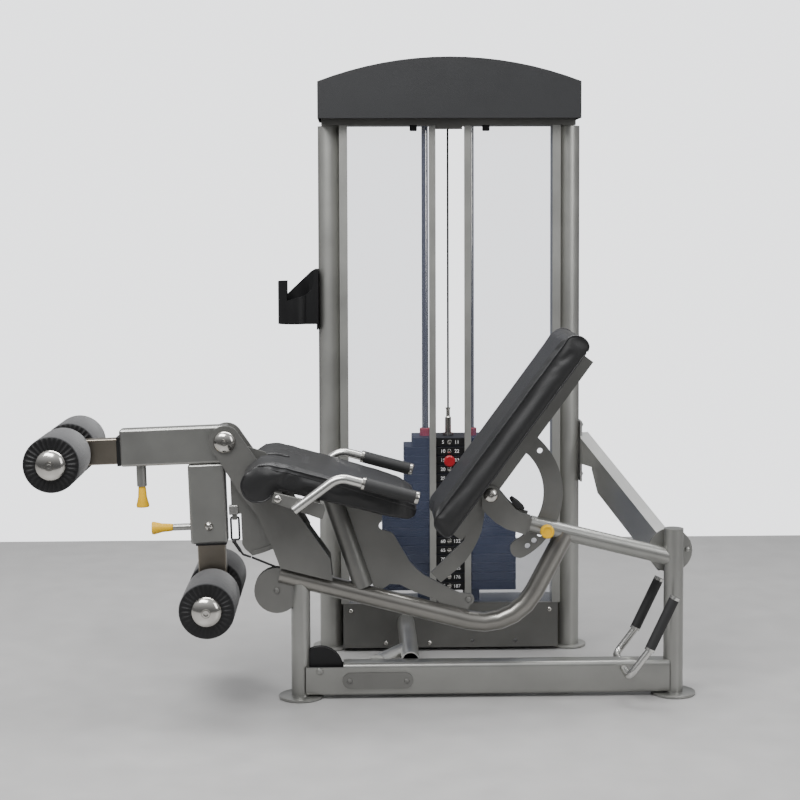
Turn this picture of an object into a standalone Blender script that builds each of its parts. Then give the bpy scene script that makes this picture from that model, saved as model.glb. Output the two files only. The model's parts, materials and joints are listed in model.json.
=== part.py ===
"""A selectorised leg extension machine with a second, upper leg roller, in metres.

+X points from the rollers to the back of the bench, +Y from the bench to the weight tower, +Z up.
The origin is on the floor under the middle of the machine.
"""

from math import acos, atan2, cos, degrees, hypot, pi, radians, sin, tan

import bmesh
import bpy
from mathutils import Matrix, Vector

# Planes and clearances
BENCH = -0.20  # Y of the bench's middle plane
TOWER = 0.34  # Y of the tower's middle plane
GAP = 0.0004  # air between two pieces that touch
WALL = 0.003  # wall of the steel tubes

# Floor frame
FRONT_POST_X = -0.1925
FRONT_POST_R = 0.0265
REAR_POST = (0.8455, 0.465)  # X and top
REAR_POST_R = 0.0275
REAR_DISC = (0.8410, 0.398)  # the round plate behind the rear post's head
FOOT_R = 0.062
FOOT_THICK = 0.008
BASE_TUBE_X = (-0.178, 0.831)
BASE_TUBE_Z = (0.010, 0.100)
BASE_TUBE_HALF = 0.030
MAIN_TUBE_R = 0.0275
MAIN_TUBE_FRONT = (-0.249, 0.3476)
MAIN_TUBE_LOW = (0.3975, 0.1796)
MAIN_TUBE_TOP = (0.5435, 0.4564)
MAIN_TUBE_BEND = 0.16
REAR_TUBE_R = 0.024
REAR_TUBE_FRONT = (0.4435, 0.481)
REAR_TUBE_REAR = (0.8455, 0.3822)
SEAT_POST_LOW = (-0.0185, 0.3095)
SEAT_POST_TOP = (-0.1071, 0.570)
SEAT_POST_R = 0.027
CROSS_TUBE_X = 0.113
CROSS_TUBE_Z = 0.090
CROSS_TUBE_R = 0.026

# Knee pivot and movement arm, whose pieces are laid out from the pivot, tilted with the arm
KNEE = (-0.396, 0.720)
ARM_TILT = radians(2)
KNEE_PLATE_Y = (0.034, 0.044)
KNEE_AXLE_R = 0.012
HUB_R = 0.036
ARM_HALF = 0.025
UPPER_BOX = ((-0.289, -0.060), (0.010, 0.043))
LOWER_BOX = ((-0.106, -0.282), (-0.004, -0.050))
UPPER_BAR = ((-0.462, -0.052), (-0.190, 0.018))
LOWER_BAR = ((-0.088, -0.443), (-0.012, -0.160))
BAR_HALF = 0.020
UPPER_ROLLER = (-0.438, -0.0155)
LOWER_ROLLER = (-0.050, -0.4195)
ROLLER_R = 0.0745
ROLLER_Y = (0.040, 0.240)
SPINDLE_R = 0.0125
ROLLER_CAP_R = 0.041
UPPER_PIN_X = -0.235
LOWER_PIN_Z = -0.236
CAM_R = 0.328
CAM_HALF = 0.005
CAM_ANGLES = (radians(10.5), radians(43))  # from straight down, towards the seat
LINK_CENTRE = (0.0157, -0.2462)
LINK_HALF = (0.011, 0.031)
LINK_WIRE_R = 0.003

# Seat
SEAT_HALF = 0.210
SEAT_UNDER = (-0.218, 0.605)  # a point of the underside
SEAT_SLOPE = -0.2462
SEAT_ROLL = (-0.298, 0.624)
SEAT_ROLL_R = 0.049
SEAT_CORNER_R = 0.080
HANDLE_Y = 0.245
HANDLE_R = 0.0125
GRIP_R = 0.0175

# Backrest, whose pieces are laid out from its pivot, along and across the rail
BACK = (0.333, 0.567)
BACK_RAKE = radians(53.6)
RAIL_U = (-0.150, 0.462)
RAIL_V = (-0.0115, 0.0335)
RAIL_HALF = 0.025
PAD_U = (-0.158, 0.502)
PAD_V = (0.0355, 0.107)
PAD_HALF = 0.150
SECTOR_R = (0.1505, 0.2035)
SECTOR_Y = (0.002, 0.012)
INDEX_R = 0.182
INDEX_PIN_ANGLE = radians(-32.5)
INDEX_STEP = radians(7.4)
BACK_BOLT_R = 0.008
FORK_Y = (0.0265, 0.0345)

# Cable and pulleys
CABLE_R = 0.003
FRONT_PULLEY = (-0.257, 0.303)
FRONT_PULLEY_R = 0.060
BASE_PULLEY_R = 0.064
PULLEY_HALF = 0.010
GROOVE = 0.0065
PULLEY_BOLT_R = 0.006
GUARD_R = 0.063

# Tower
UPRIGHT_X = (-0.1145, 0.6165)
UPRIGHT_R = 0.0355
UPRIGHT_TOP = 1.6075
TOWER_FOOT_R = 0.0575
STACK_X = 0.2475
STACK_Y = (TOWER - 0.050, TOWER + 0.070)
STACK_MIDDLE_Y = TOWER + 0.010
SLOT_X = (0.207, 0.294)  # the gap between the two trims
STACK_TOP = 0.657
PLATE_PITCH = 0.0278
PLATE_GROOVE = 0.0007
PLATE_HALVES = [0.112] + [0.137] * 7 + [0.205] * 9
LIFTED = 3  # plates above the selector pin
ROD_OFFSET = 0.0705
ROD_R = 0.010
STEM_R = 0.0125
PANEL_Y = (TOWER - 0.060, TOWER - 0.056)
PANEL_Z = (0.148, 1.6075)
BASE_PANEL_X = (-0.0785, 0.5805)
BASE_PANEL_Z = (0.010, 0.147)
TOP_BEAM_Z = (1.608, 1.650)
CAP_X = (-0.148, 0.641)
CAP_Z = (1.625, 1.735)
CAP_APEX = 1.808
CAP_Y = (TOWER - 0.128, 0.4625)
TOP_PULLEY_R = 0.050
TOP_PULLEY_Z = 1.705

# Rear handles
REAR_HANDLE_POINTS = ((0.828, 0.300), (0.757, 0.151), (0.703, 0.080))
REAR_HANDLE_Y = 0.12
REAR_HANDLE_R = 0.0105
REAR_GRIP_R = 0.0145

STEEL = ("frame_silver", (0.42, 0.42, 0.40), 0.35, 0.9)
DARK_STEEL = ("plate_grey", (0.16, 0.16, 0.155), 0.4, 0.8)
CHROME = ("chrome", (0.78, 0.77, 0.74), 0.15, 1.0)
VINYL = ("black_vinyl", (0.035, 0.035, 0.037), 0.55, 0.0)
FOAM = ("grey_foam", (0.10, 0.10, 0.105), 0.8, 0.0)
RUBBER = ("black_rubber", (0.03, 0.03, 0.03), 0.7, 0.0)
PLASTIC = ("black_plastic", (0.03, 0.03, 0.03), 0.45, 0.0)
CAP_PLASTIC = ("cap_plastic", (0.075, 0.075, 0.078), 0.6, 0.0)
ACRYLIC = ("clear_acrylic", (0.66, 0.69, 0.76), 0.1, 0.0)
IRON = ("stack_paint", (0.025, 0.032, 0.055), 0.5, 0.1)
YELLOW = ("yellow_knob", (0.85, 0.52, 0.03), 0.4, 0.0)
RED = ("red_knob", (0.55, 0.02, 0.03), 0.4, 0.0)
WIRE = ("cable_black", (0.03, 0.03, 0.03), 0.5, 0.0)


# ---- Building closed shapes -------------------------------------------------------------------


def arc(centre, radius, start, end, steps):
    """Points of an arc in a plane, angles in radians."""
    angles = [start + (end - start) * i / steps for i in range(steps + 1)]
    return [(centre[0] + radius * cos(a), centre[1] + radius * sin(a)) for a in angles]


def shape_from(bm):
    """A plain object from a bmesh, with its faces turned outwards."""
    bmesh.ops.remove_doubles(bm, verts=bm.verts, dist=1e-6)
    bmesh.ops.recalc_face_normals(bm, faces=bm.faces)
    mesh = bpy.data.meshes.new("shape")
    bm.to_mesh(mesh)
    bm.free()
    obj = bpy.data.objects.new("shape", mesh)
    bpy.context.scene.collection.objects.link(obj)
    return obj


def loft(rings, closed=False):
    """A skin over rings with the same number of points. Closed joins the last ring to the first."""
    bm = bmesh.new()
    rows = [[bm.verts.new(point) for point in ring] for ring in rings]
    pairs = list(zip(rows, rows[1:]))
    if closed:
        pairs.append((rows[-1], rows[0]))
    for low, high in pairs:
        for i in range(len(low)):
            j = (i + 1) % len(low)
            bm.faces.new((low[i], low[j], high[j], high[i]))
    if not closed:
        bm.faces.new(rows[0])
        bm.faces.new(rows[-1])
    return shape_from(bm)


def frame_for(direction):
    """Two unit vectors square to a direction and to each other."""
    direction = direction.normalized()
    helper = Vector((0, 1, 0)) if abs(direction.y) < 0.9 else Vector((1, 0, 0))
    side = helper.cross(direction).normalized()
    return side, direction.cross(side)


def ring(centre, side, up, radius, sides):
    angles = [2 * pi * i / sides for i in range(sides)]
    return [centre + radius * (cos(a) * side + sin(a) * up) for a in angles]


def turned(start, direction, profile, sides=14, closed=False):
    """A lathe shape: profile holds (distance along, radius). Closed gives a sleeve."""
    start, direction = Vector(start), Vector(direction).normalized()
    side, up = frame_for(direction)
    rings = [
        ring(start + along * direction, side, up, max(radius, 1e-5), sides)
        for along, radius in profile
    ]
    return loft(rings, closed)


def rod(start, end, radius, sides=12):
    start, end = Vector(start), Vector(end)
    length = (end - start).length
    return turned(start, end - start, [(0, radius), (length, radius)], sides)


def sleeve(start, end, outer, inner, sides=14):
    start, end = Vector(start), Vector(end)
    length = (end - start).length
    profile = [(0, outer), (length, outer), (length, inner), (0, inner)]
    return turned(start, end - start, profile, sides, closed=True)


def dome(start, direction, radius, height, sides=14):
    """A bolt head or end cap: a short rim, then a low dome."""
    rim = 0.2 * height
    profile = [(0, radius)] + [
        (rim + (height - rim) * sin(a), radius * cos(a))
        for a in (0, radians(35), radians(65))
    ]
    return turned(start, direction, profile + [(height, 0.04 * radius)], sides)


def rounded(points, radius, step=radians(14)):
    """A path through corner points with an arc of this radius at each inner corner."""
    points = [Vector(p) for p in points]
    path = [points[0]]
    for before, corner, after in zip(points, points[1:], points[2:]):
        into, out = (corner - before).normalized(), (after - corner).normalized()
        turn = acos(max(-1, min(1, into.dot(out))))
        if turn < 1e-4:
            continue
        reach = radius * tan(turn / 2)
        centre = corner - reach * into + radius * (out - into * cos(turn)).normalized()
        start = corner - reach * into - centre
        across = into
        count = max(2, round(turn / step))
        for i in range(count + 1):
            angle = turn * i / count
            path.append(centre + start * cos(angle) + across * radius * sin(angle))
    return path + [points[-1]]


def carried_frames(path, closed=False):
    """A pair of section directions at each point of a path, carried along without twist."""
    tangents = []
    for i in range(len(path)):
        before = path[i - 1] if i or closed else path[i]
        after = path[(i + 1) % len(path)] if i + 1 < len(path) or closed else path[i]
        tangents.append((after - before).normalized())
    side, _ = frame_for(tangents[0])
    frames = []
    for tangent in tangents:
        side = (side - tangent * side.dot(tangent)).normalized()
        frames.append((side, tangent.cross(side)))
    return frames


def swept(path, radius, sides=16, wall=0.0, closed=False):
    """A round bar along a path. With a wall it is a tube shut at its start and open at its end."""
    path = [Vector(p) for p in path]
    frames = carried_frames(path, closed)
    outer = [ring(p, s, u, radius, sides) for p, (s, u) in zip(path, frames)]
    if not wall:
        return loft(outer, closed)
    inner = [ring(p, s, u, radius - wall, sides) for p, (s, u) in zip(path, frames)]
    shut = path[0] + wall * (path[1] - path[0]).normalized()
    inner[0] = ring(shut, *frames[0], radius - wall, sides)
    return loft(outer + inner[::-1])


def plate(outline, low, high, axis="Y"):
    """A flat shape of this outline between two levels of an axis. The outline is X, Z for Y."""
    place = {
        "X": lambda a, b, level: (level, a, b),
        "Y": lambda a, b, level: (a, level, b),
        "Z": lambda a, b, level: (a, b, level),
    }[axis]
    return loft([[Vector(place(a, b, level)) for a, b in outline] for level in (low, high)])


def block(low, high):
    outline = [(low[0], low[2]), (high[0], low[2]), (high[0], high[2]), (low[0], high[2])]
    return plate(outline, low[1], high[1])


def rounded_rectangle(low, high, radius, steps=4):
    corners = [
        ((high[0] - radius, high[1] - radius), 0),
        ((low[0] + radius, high[1] - radius), pi / 2),
        ((low[0] + radius, low[1] + radius), pi),
        ((high[0] - radius, low[1] + radius), 1.5 * pi),
    ]
    points = []
    for centre, start in corners:
        points += arc(centre, radius, start, start + pi / 2, steps)
    return points


def combine(target, tools, operation):
    """Joins or cuts with exact Booleans, applies them, and removes the tools."""
    for tool in tools:
        modifier = target.modifiers.new(name=operation.title(), type="BOOLEAN")
        modifier.operation = operation
        modifier.solver = "EXACT"
        modifier.object = tool
    graph = bpy.context.evaluated_depsgraph_get()
    mesh = bpy.data.meshes.new_from_object(target.evaluated_get(graph))
    target.modifiers.clear()
    target.data = mesh
    for tool in tools:
        bpy.data.objects.remove(tool)
    return target


def join(first, *others):
    return combine(first, others, "UNION")


def cut(target, *cutters):
    return combine(target, cutters, "DIFFERENCE")


# ---- Naming, materials and bodies ------------------------------------------------------------


def material(spec):
    name, colour, roughness, metallic = spec
    found = bpy.data.materials.get(name)
    if found:
        return found
    made = bpy.data.materials.new(name)
    made.use_nodes = True
    shader = made.node_tree.nodes["Principled BSDF"]
    shader.inputs["Base Color"].default_value = (*colour, 1)
    shader.inputs["Roughness"].default_value = roughness
    shader.inputs["Metallic"].default_value = metallic
    made.diffuse_color = (*colour, 1)
    return made


def piece(name, obj, spec, body=None, local=False):
    """Names a finished shape. A moving piece hangs on its body's empty, in that empty's frame."""
    obj.name = name
    obj.data.name = name
    obj.data.materials.clear()
    obj.data.materials.append(material(spec))
    obj.data.shade_smooth()
    obj.data.set_sharp_from_angle(angle=radians(32))
    if body:
        if not local:
            obj.data.transform(body.matrix_world.inverted())
        obj.parent = body
    return obj


def body_frame(name, location, tilt=0.0, parent=None):
    """An empty on a joint's axis. Tilt turns it about Y, nose up."""
    empty = bpy.data.objects.new(name, None)
    bpy.context.scene.collection.objects.link(empty)
    world = Matrix.Translation(location) @ Matrix.Rotation(-tilt, 4, "Y")
    empty.matrix_world = world
    if parent:
        empty.parent = parent
        empty.matrix_parent_inverse = parent.matrix_world.inverted()
    bpy.context.view_layer.update()
    return empty


def bench(x, z, side=0.0):
    """A point on or beside the bench's middle plane."""
    return Vector((x, BENCH + side, z))


def cross_rod(centre, radius, low, high, sides=12):
    """A bar along Y through a point of the bench plane, between two offsets from that plane."""
    return rod(bench(*centre, low), bench(*centre, high), radius, sides)


def bench_plate(outline, low, high):
    return plate(outline, BENCH + low, BENCH + high)


# ---- Clearance shapes of the tubes that others meet --------------------------------------------


def main_tube_path():
    corners = (MAIN_TUBE_FRONT, MAIN_TUBE_LOW, MAIN_TUBE_TOP)
    return rounded([bench(*point) for point in corners], MAIN_TUBE_BEND)


def main_tube_room():
    return swept(main_tube_path(), MAIN_TUBE_R + GAP)


def rear_tube_room():
    return rod(bench(*REAR_TUBE_FRONT), bench(*REAR_TUBE_REAR), REAR_TUBE_R + GAP, 16)


def front_post_room():
    return rod((FRONT_POST_X, BENCH, -0.1), (FRONT_POST_X, BENCH, 0.322), FRONT_POST_R + GAP, 18)


def rear_post_room():
    return rod((REAR_POST[0], BENCH, -0.1), (REAR_POST[0], BENCH, 0.6), REAR_POST_R + GAP, 18)


def sector_room():
    """The ring that the index sector sweeps through the tubes."""
    low, high = SECTOR_R[0] - 0.003, SECTOR_R[1] + 0.003
    outer = arc(BACK, high, radians(-80), radians(0), 10)
    inner = arc(BACK, low, radians(0), radians(-80), 10)
    return bench_plate(outer + inner, SECTOR_Y[0] - 0.0008, SECTOR_Y[1] + 0.0008)


def under_seat(x, drop=0.0):
    return SEAT_UNDER[1] + SEAT_SLOPE * (x - SEAT_UNDER[0]) - drop


def seat_room():
    """Everything above the seat's underside."""
    left, right = -0.40, 0.30
    outline = [(left, under_seat(left, GAP)), (right, under_seat(right, GAP)), (right, 1.0), (left, 1.0)]
    return bench_plate(outline, -0.3, 0.3)


def tube_top(x):
    """Height of the main tube's crown over its straight front run."""
    slope = (MAIN_TUBE_LOW[1] - MAIN_TUBE_FRONT[1]) / (MAIN_TUBE_LOW[0] - MAIN_TUBE_FRONT[0])
    return MAIN_TUBE_FRONT[1] + slope * (x - MAIN_TUBE_FRONT[0]) + MAIN_TUBE_R / cos(atan2(slope, 1))


def cable_turn(pulley_r):
    """Radius of the cable's middle line in a pulley's groove."""
    return pulley_r - GROOVE + CABLE_R + GAP


def front_pulley_room():
    return cross_rod(FRONT_PULLEY, GUARD_R + 0.0025, -0.0165, 0.0165, 26)


def base_pulley_centre():
    run_x = FRONT_PULLEY[0] + cable_turn(FRONT_PULLEY_R)
    return (run_x + cable_turn(BASE_PULLEY_R), 0.079)


def base_pulley_room():
    return cross_rod(base_pulley_centre(), BASE_PULLEY_R + 0.0030, -0.0125, 0.0125, 24)


# ---- Floor frame -----------------------------------------------------------------------------


def post_profile(foot_r, foot_thick, radius, top):
    """A hollow post on a foot plate, open at the top."""
    return [
        (0, foot_r - 0.002),
        (0.0015, foot_r),
        (foot_thick - 0.001, foot_r),
        (foot_thick, foot_r - 0.002),
        (foot_thick, radius),
        (top, radius),
        (top, radius - WALL),
        (foot_thick + WALL, radius - WALL),
    ]


def front_post():
    profile = post_profile(FOOT_R, FOOT_THICK, FRONT_POST_R, 0.322)
    post = turned((FRONT_POST_X, BENCH, 0), (0, 0, 1), profile, 18)
    cut(post, main_tube_room(), front_pulley_room(), base_pulley_room())
    return piece("front_post", post, STEEL)


def rear_post():
    x, top = REAR_POST
    profile = post_profile(FOOT_R, FOOT_THICK, REAR_POST_R, top - 0.004)
    post = turned((x, BENCH, 0), (0, 0, 1), profile, 18)
    lid = rod((x, BENCH, top - 0.006), (x, BENCH, top), REAR_POST_R, 18)
    guard = cross_rod(REAR_DISC, FOOT_R, 0.025, 0.033, 28)
    bolt = dome(bench(0.889, 0.400, 0.0255), (0, -1, 0), 0.008, 0.006, 10)
    vent = rod((x, BENCH + 0.010, 0.060), (x, BENCH + 0.05, 0.060), 0.004, 8)
    return piece("rear_post", cut(join(post, lid, guard, bolt), vent), STEEL)


def base_tube():
    (left, right), (low, high) = BASE_TUBE_X, BASE_TUBE_Z
    half = BASE_TUBE_HALF

    def section(x, inset):
        lowest = (BENCH - half + inset, low + inset)
        highest = (BENCH + half - inset, high - inset)
        outline = rounded_rectangle(lowest, highest, 0.012 - inset)
        return [Vector((x, y, z)) for y, z in outline]

    rings = [section(left, 0), section(right, 0), section(right, WALL), section(left, WALL)]
    tube = loft(rings, closed=True)
    cut(tube, front_post_room(), rear_post_room(), base_pulley_room())
    notch = block((-0.30, BENCH - 0.05, 0.090), (-0.074, BENCH + 0.05, 0.12))
    handle_hole = cross_rod(REAR_HANDLE_POINTS[-1], REAR_HANDLE_R + GAP, -0.05, 0.05)
    cut(tube, notch, handle_hole)
    centre = base_pulley_centre()
    bolt = cross_rod(centre, PULLEY_BOLT_R, -half - 0.001, half + 0.001)
    heads = [dome(bench(*centre, s * (half - 0.001)), (0, s, 0), 0.010, 0.007, 10) for s in (-1, 1)]
    return piece("base_tube", join(tube, bolt, *heads), STEEL)


def base_cover_plate():
    middle, half_length, radius = (0.0205, 0.0525), 0.075, 0.0225
    left, right = middle[0] - half_length, middle[0] + half_length
    outline = arc((right, middle[1]), radius, -pi / 2, pi / 2, 8)
    outline += arc((left, middle[1]), radius, pi / 2, 1.5 * pi, 8)
    near = -BASE_TUBE_HALF - GAP
    cover = bench_plate(outline, near - 0.004, near)
    bolts = [
        dome(bench(x, middle[1], near - 0.0035), (0, -1, 0), 0.0075, 0.005, 10)
        for x in (-0.057, 0.100)
    ]
    return piece("base_cover_plate", join(cover, *bolts), DARK_STEEL)


def main_tube():
    tube = swept(main_tube_path(), MAIN_TUBE_R, wall=WALL)
    cut(tube, rear_tube_room(), front_pulley_room())
    return piece("main_tube", tube, STEEL)


def rear_tube():
    ends = [bench(*REAR_TUBE_FRONT), bench(*REAR_TUBE_REAR)]
    tube = swept(ends, REAR_TUBE_R, wall=WALL)
    pin = index_pin_centre()
    boss = cross_rod(pin, 0.0125, -0.046, -0.020)
    bore = cross_rod(pin, 0.0068, -0.060, 0.0)
    return piece("rear_tube", cut(join(tube, boss), rear_post_room(), sector_room(), bore), STEEL)


def seat_post():
    low, top = bench(*SEAT_POST_LOW), bench(*SEAT_POST_TOP)
    over = top + 0.03 * (top - low).normalized()
    post = sleeve(low, over, SEAT_POST_R, SEAT_POST_R - WALL, 18)
    crossbar = bench_plate([(x, z + 0.001) for x, z in seat_bar_outline()], -0.1, 0.1)
    return piece("seat_post", cut(post, main_tube_room(), seat_room(), crossbar), DARK_STEEL)


def seat_post_room():
    low, top = bench(*SEAT_POST_LOW), bench(*SEAT_POST_TOP)
    along = (top - low).normalized()
    return rod(low - 0.1 * along, top + 0.1 * along, SEAT_POST_R + GAP, 18)


def seat_gusset():
    """The flat plate behind the seat post: notch, hollow rear edge and an arm along the tube."""
    notch = arc((0.0375, 0.478), 0.0125, radians(110), radians(280), 8)
    outline = [(-0.10, 0.56), (-0.10, 0.60), (0.034, 0.60), (0.034, 0.50)]
    outline += notch
    outline += [(0.058, 0.460), (0.0665, 0.4525), (0.088, 0.415), (0.1103, 0.3764), (0.1300, 0.3555)]
    outline += [(0.1500, 0.3385), (0.1921, 0.3172), (0.2233, 0.2995), (0.2506, 0.2880)]
    outline += arc((0.2735, 0.2700), 0.0165, radians(100), radians(-75), 8)
    outline += [(0.2650, 0.2300), (0.2198, 0.2440), (0.1808, 0.2709), (0.1223, 0.2931)]
    outline += [(0.0833, 0.3132), (0.0555, 0.3150), (0.0250, 0.2950), (-0.0200, 0.2950)]
    gusset = bench_plate(outline, GAP, 0.010)
    bolt = dome(bench(0.2735, 0.2700, GAP), (0, -1, 0), 0.009, 0.006, 12)
    cut(gusset, seat_post_room(), seat_room())
    return piece("seat_gusset", cut(join(gusset, bolt), main_tube_room()), DARK_STEEL)


def back_brace():
    """The crescent plate from the gusset up to the backrest's pivot."""
    eye = arc(BACK, 0.018, radians(-20), radians(160), 10)
    outline = eye + [(0.2990, 0.5480), (0.2597, 0.4357), (0.2515, 0.4290), (0.1878, 0.3666)]
    outline += [(0.1690, 0.3480), (0.1960, 0.3200), (0.2400, 0.3560), (0.2657, 0.3817)]
    outline += [(0.2830, 0.4060), (0.2969, 0.4325), (0.3090, 0.4620), (0.3145, 0.4900), (0.3200, 0.5300)]
    crescent = bench_plate(outline, -0.0103, -0.0003)
    return piece("back_brace", cut(crescent, cross_rod(BACK, BACK_BOLT_R + GAP, -0.05, 0.05)), DARK_STEEL)


def knee_plate(name, side):
    """A pivot plate on the main tube, with a flange that lies along the tube's crown."""
    inner, outer = side * KNEE_PLATE_Y[0], side * KNEE_PLATE_Y[1]
    foot = [(x, tube_top(x) - 0.004) for x in (-0.246, -0.103)]
    outline = arc(KNEE, 0.044, radians(215), radians(38), 14)
    outline += [(-0.315, 0.680), (-0.199, 0.524), (-0.109, 0.396), foot[1], foot[0]]
    outline += [(-0.267, 0.428), (-0.309, 0.518), (-0.357, 0.580), (-0.419, 0.681)]
    sheet = bench_plate(outline, min(inner, outer), max(inner, outer))
    low, high = sorted((side * 0.008, side * 0.040))
    lip = [(x, tube_top(x) + GAP) for x in (-0.210, -0.106)]
    flange = bench_plate(lip + [(x, z + 0.005) for x, z in reversed(lip)], low, high)
    hole = cross_rod(KNEE, KNEE_AXLE_R + GAP, -0.06, 0.06, 24)
    return piece(name, cut(join(sheet, flange), hole), DARK_STEEL)


def knee_axle():
    reach = KNEE_PLATE_Y[1] + GAP
    shaft = cross_rod(KNEE, KNEE_AXLE_R, -reach - 0.002, reach + 0.002, 24)
    heads = [dome(bench(*KNEE, s * reach), (0, s, 0), 0.030, 0.016) for s in (-1, 1)]
    return piece("knee_axle", join(shaft, *heads), CHROME)


def back_fork():
    """Two curved cheeks welded to a block that closes the rear tube's front end."""
    outline = arc(BACK, 0.026, radians(35), radians(205), 10)
    outline += [(0.3075, 0.5320), (0.3209, 0.5146), (0.3460, 0.4905), (0.3758, 0.4726), (0.4285, 0.4561)]
    outline += [(0.4422, 0.5113), (0.4238, 0.5160), (0.4030, 0.5270), (0.3849, 0.5463), (0.3690, 0.5660)]
    cheeks = [bench_plate(outline, *sorted((s * FORK_Y[0], s * FORK_Y[1]))) for s in (-1, 1)]
    front, rear = Vector(REAR_TUBE_FRONT), Vector(REAR_TUBE_REAR)
    along = (rear - front).normalized()
    across = Vector((-along.y, along.x))
    corners = [(-0.012, -0.020), (-GAP, -0.020), (-GAP, 0.020), (-0.012, 0.020)]
    outline = [tuple(front + a * along + b * across) for a, b in corners]
    web = bench_plate(outline, -0.030, 0.030)
    fork = join(web, *cheeks)
    return piece("back_fork", cut(fork, cross_rod(BACK, BACK_BOLT_R + GAP, -0.05, 0.05)), DARK_STEEL)


def back_axle():
    reach = FORK_Y[1] + GAP
    shaft = cross_rod(BACK, BACK_BOLT_R, -reach - 0.002, reach + 0.002)
    heads = [dome(bench(*BACK, s * reach), (0, s, 0), 0.0205, 0.013) for s in (-1, 1)]
    return piece("back_axle", join(shaft, *heads), CHROME)


def cross_tube():
    """The floor tube between bench and tower, with its diagonal brace."""
    near, far = BENCH + BASE_TUBE_HALF + GAP, PANEL_Y[0] - GAP
    x, z = CROSS_TUBE_X, CROSS_TUBE_Z
    tube = rod((x, near, z), (x, far, z), CROSS_TUBE_R, 18)
    brace = rod((0.000, near - 0.03, z - 0.004), (x, near + 0.15, z - 0.002), 0.022, 16)
    bore = rod((x, near - 0.1, z), (x, far + 0.1, z), CROSS_TUBE_R - WALL, 18)
    trim = block((-0.1, near - 0.1, 0.0), (0.3, near, 0.2))
    return piece("cross_tube", cut(join(tube, brace), bore, trim), STEEL)


def beam(start, end, width, height):
    """A square bar between two points with its sides upright."""
    start, end = Vector(start), Vector(end)
    along = (end - start).normalized()
    side = along.cross(Vector((0, 0, 1))).normalized() * width / 2
    up = side.cross(along).normalized() * height / 2
    corners = [(-1, -1), (1, -1), (1, 1), (-1, 1)]
    return loft([[p + a * side + b * up for a, b in corners] for p in (start, end)])


def rear_brace():
    """The sloping bar from the tower's right upright to the rear post, and its bolted plate."""
    face = UPRIGHT_X[1] + UPRIGHT_R + GAP
    pad = block((face, TOWER - 0.032, 0.515), (face + 0.006, TOWER + 0.032, 0.701))
    bolts = [dome((face + 0.0055, TOWER, z), (1, 0, 0), 0.0075, 0.008, 10) for z in (0.535, 0.688)]
    bar = beam((0.655, TOWER + 0.01, 0.622), (REAR_POST[0] - 0.012, BENCH + 0.025, 0.381), 0.040, 0.094)
    trim = block((0.5, TOWER - 0.2, 0.3), (face, TOWER + 0.2, 0.8))
    step = block((0.5, TOWER - 0.2, 0.3), (face + 0.036, TOWER + 0.2, 0.572))
    brace = join(cut(bar, rear_post_room(), trim, step), pad, *bolts)
    guard_room = cross_rod(REAR_DISC, FOOT_R + 0.001, -0.05, 0.033 + GAP, 28)
    return piece("rear_brace", cut(brace, guard_room, rear_tube_room()), STEEL)


def rear_handle_points(side):
    return [bench(x, z, side * REAR_HANDLE_Y) for x, z in REAR_HANDLE_POINTS]


def rear_handle_bar():
    near, far = rear_handle_points(-1), rear_handle_points(1)
    bar = swept(rounded(near + far[::-1], 0.024), REAR_HANDLE_R, 12)
    rings = []
    for top, low, _ in (near, far):
        down = (low - top).normalized()
        for along in (0.0, 0.156):
            start = top + along * down
            rings.append(rod(start, start + 0.008 * down, REAR_GRIP_R, 12))
    return piece("rear_handle_bar", join(bar, *rings), CHROME)


def rear_grip(name, side):
    top, low, _ = rear_handle_points(side)
    down = (low - top).normalized()
    ends = top + (0.008 + GAP) * down, top + (0.156 - GAP) * down
    return piece(name, sleeve(*ends, REAR_GRIP_R, REAR_HANDLE_R + GAP, 12), RUBBER)


# ---- Seat ------------------------------------------------------------------------------------


def seat_handle_path(side):
    corners = ((-0.200, 0.5666), (-0.082, 0.6535), (0.126, 0.5965))
    return rounded([bench(*point, side * HANDLE_Y) for point in corners], 0.055)


def seat_bar_outline():
    return [(-0.160, 0.562), (-0.136, 0.556), (-0.136, 0.582), (-0.160, 0.588)]


def seat_handle_frame():
    """Crossbar under the seat, a bracket on each side and the two handle tubes."""
    bar = bench_plate(seat_bar_outline(), -0.235, 0.235)
    parts = []
    for side in (-1, 1):
        bracket = [(-0.259, 0.587), (-0.252, 0.612), (-0.122, 0.580), (-0.118, 0.566), (-0.126, 0.540)]
        low, high = sorted((side * 0.222, side * 0.236))
        parts.append(bench_plate(bracket, low, high))
        parts.append(dome(bench(-0.243, 0.595, side * 0.2355), (0, side, 0), 0.010, 0.006, 10))
        path = seat_handle_path(side)
        parts.append(swept(path, HANDLE_R, 14))
        down = (path[-1] - path[-2]).normalized()
        for along in (-0.154, -0.008):
            start = path[-1] + along * down
            parts.append(rod(start, start + 0.008 * down, GRIP_R, 14))
    return piece("seat_handle_frame", join(bar, *parts), CHROME)


def seat_grip(name, side):
    path = seat_handle_path(side)
    down = (path[-1] - path[-2]).normalized()
    ends = path[-1] - (0.146 - GAP) * down, path[-1] - (0.008 + GAP) * down
    return piece(name, sleeve(*ends, GRIP_R, HANDLE_R + GAP, 14), RUBBER)


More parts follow.
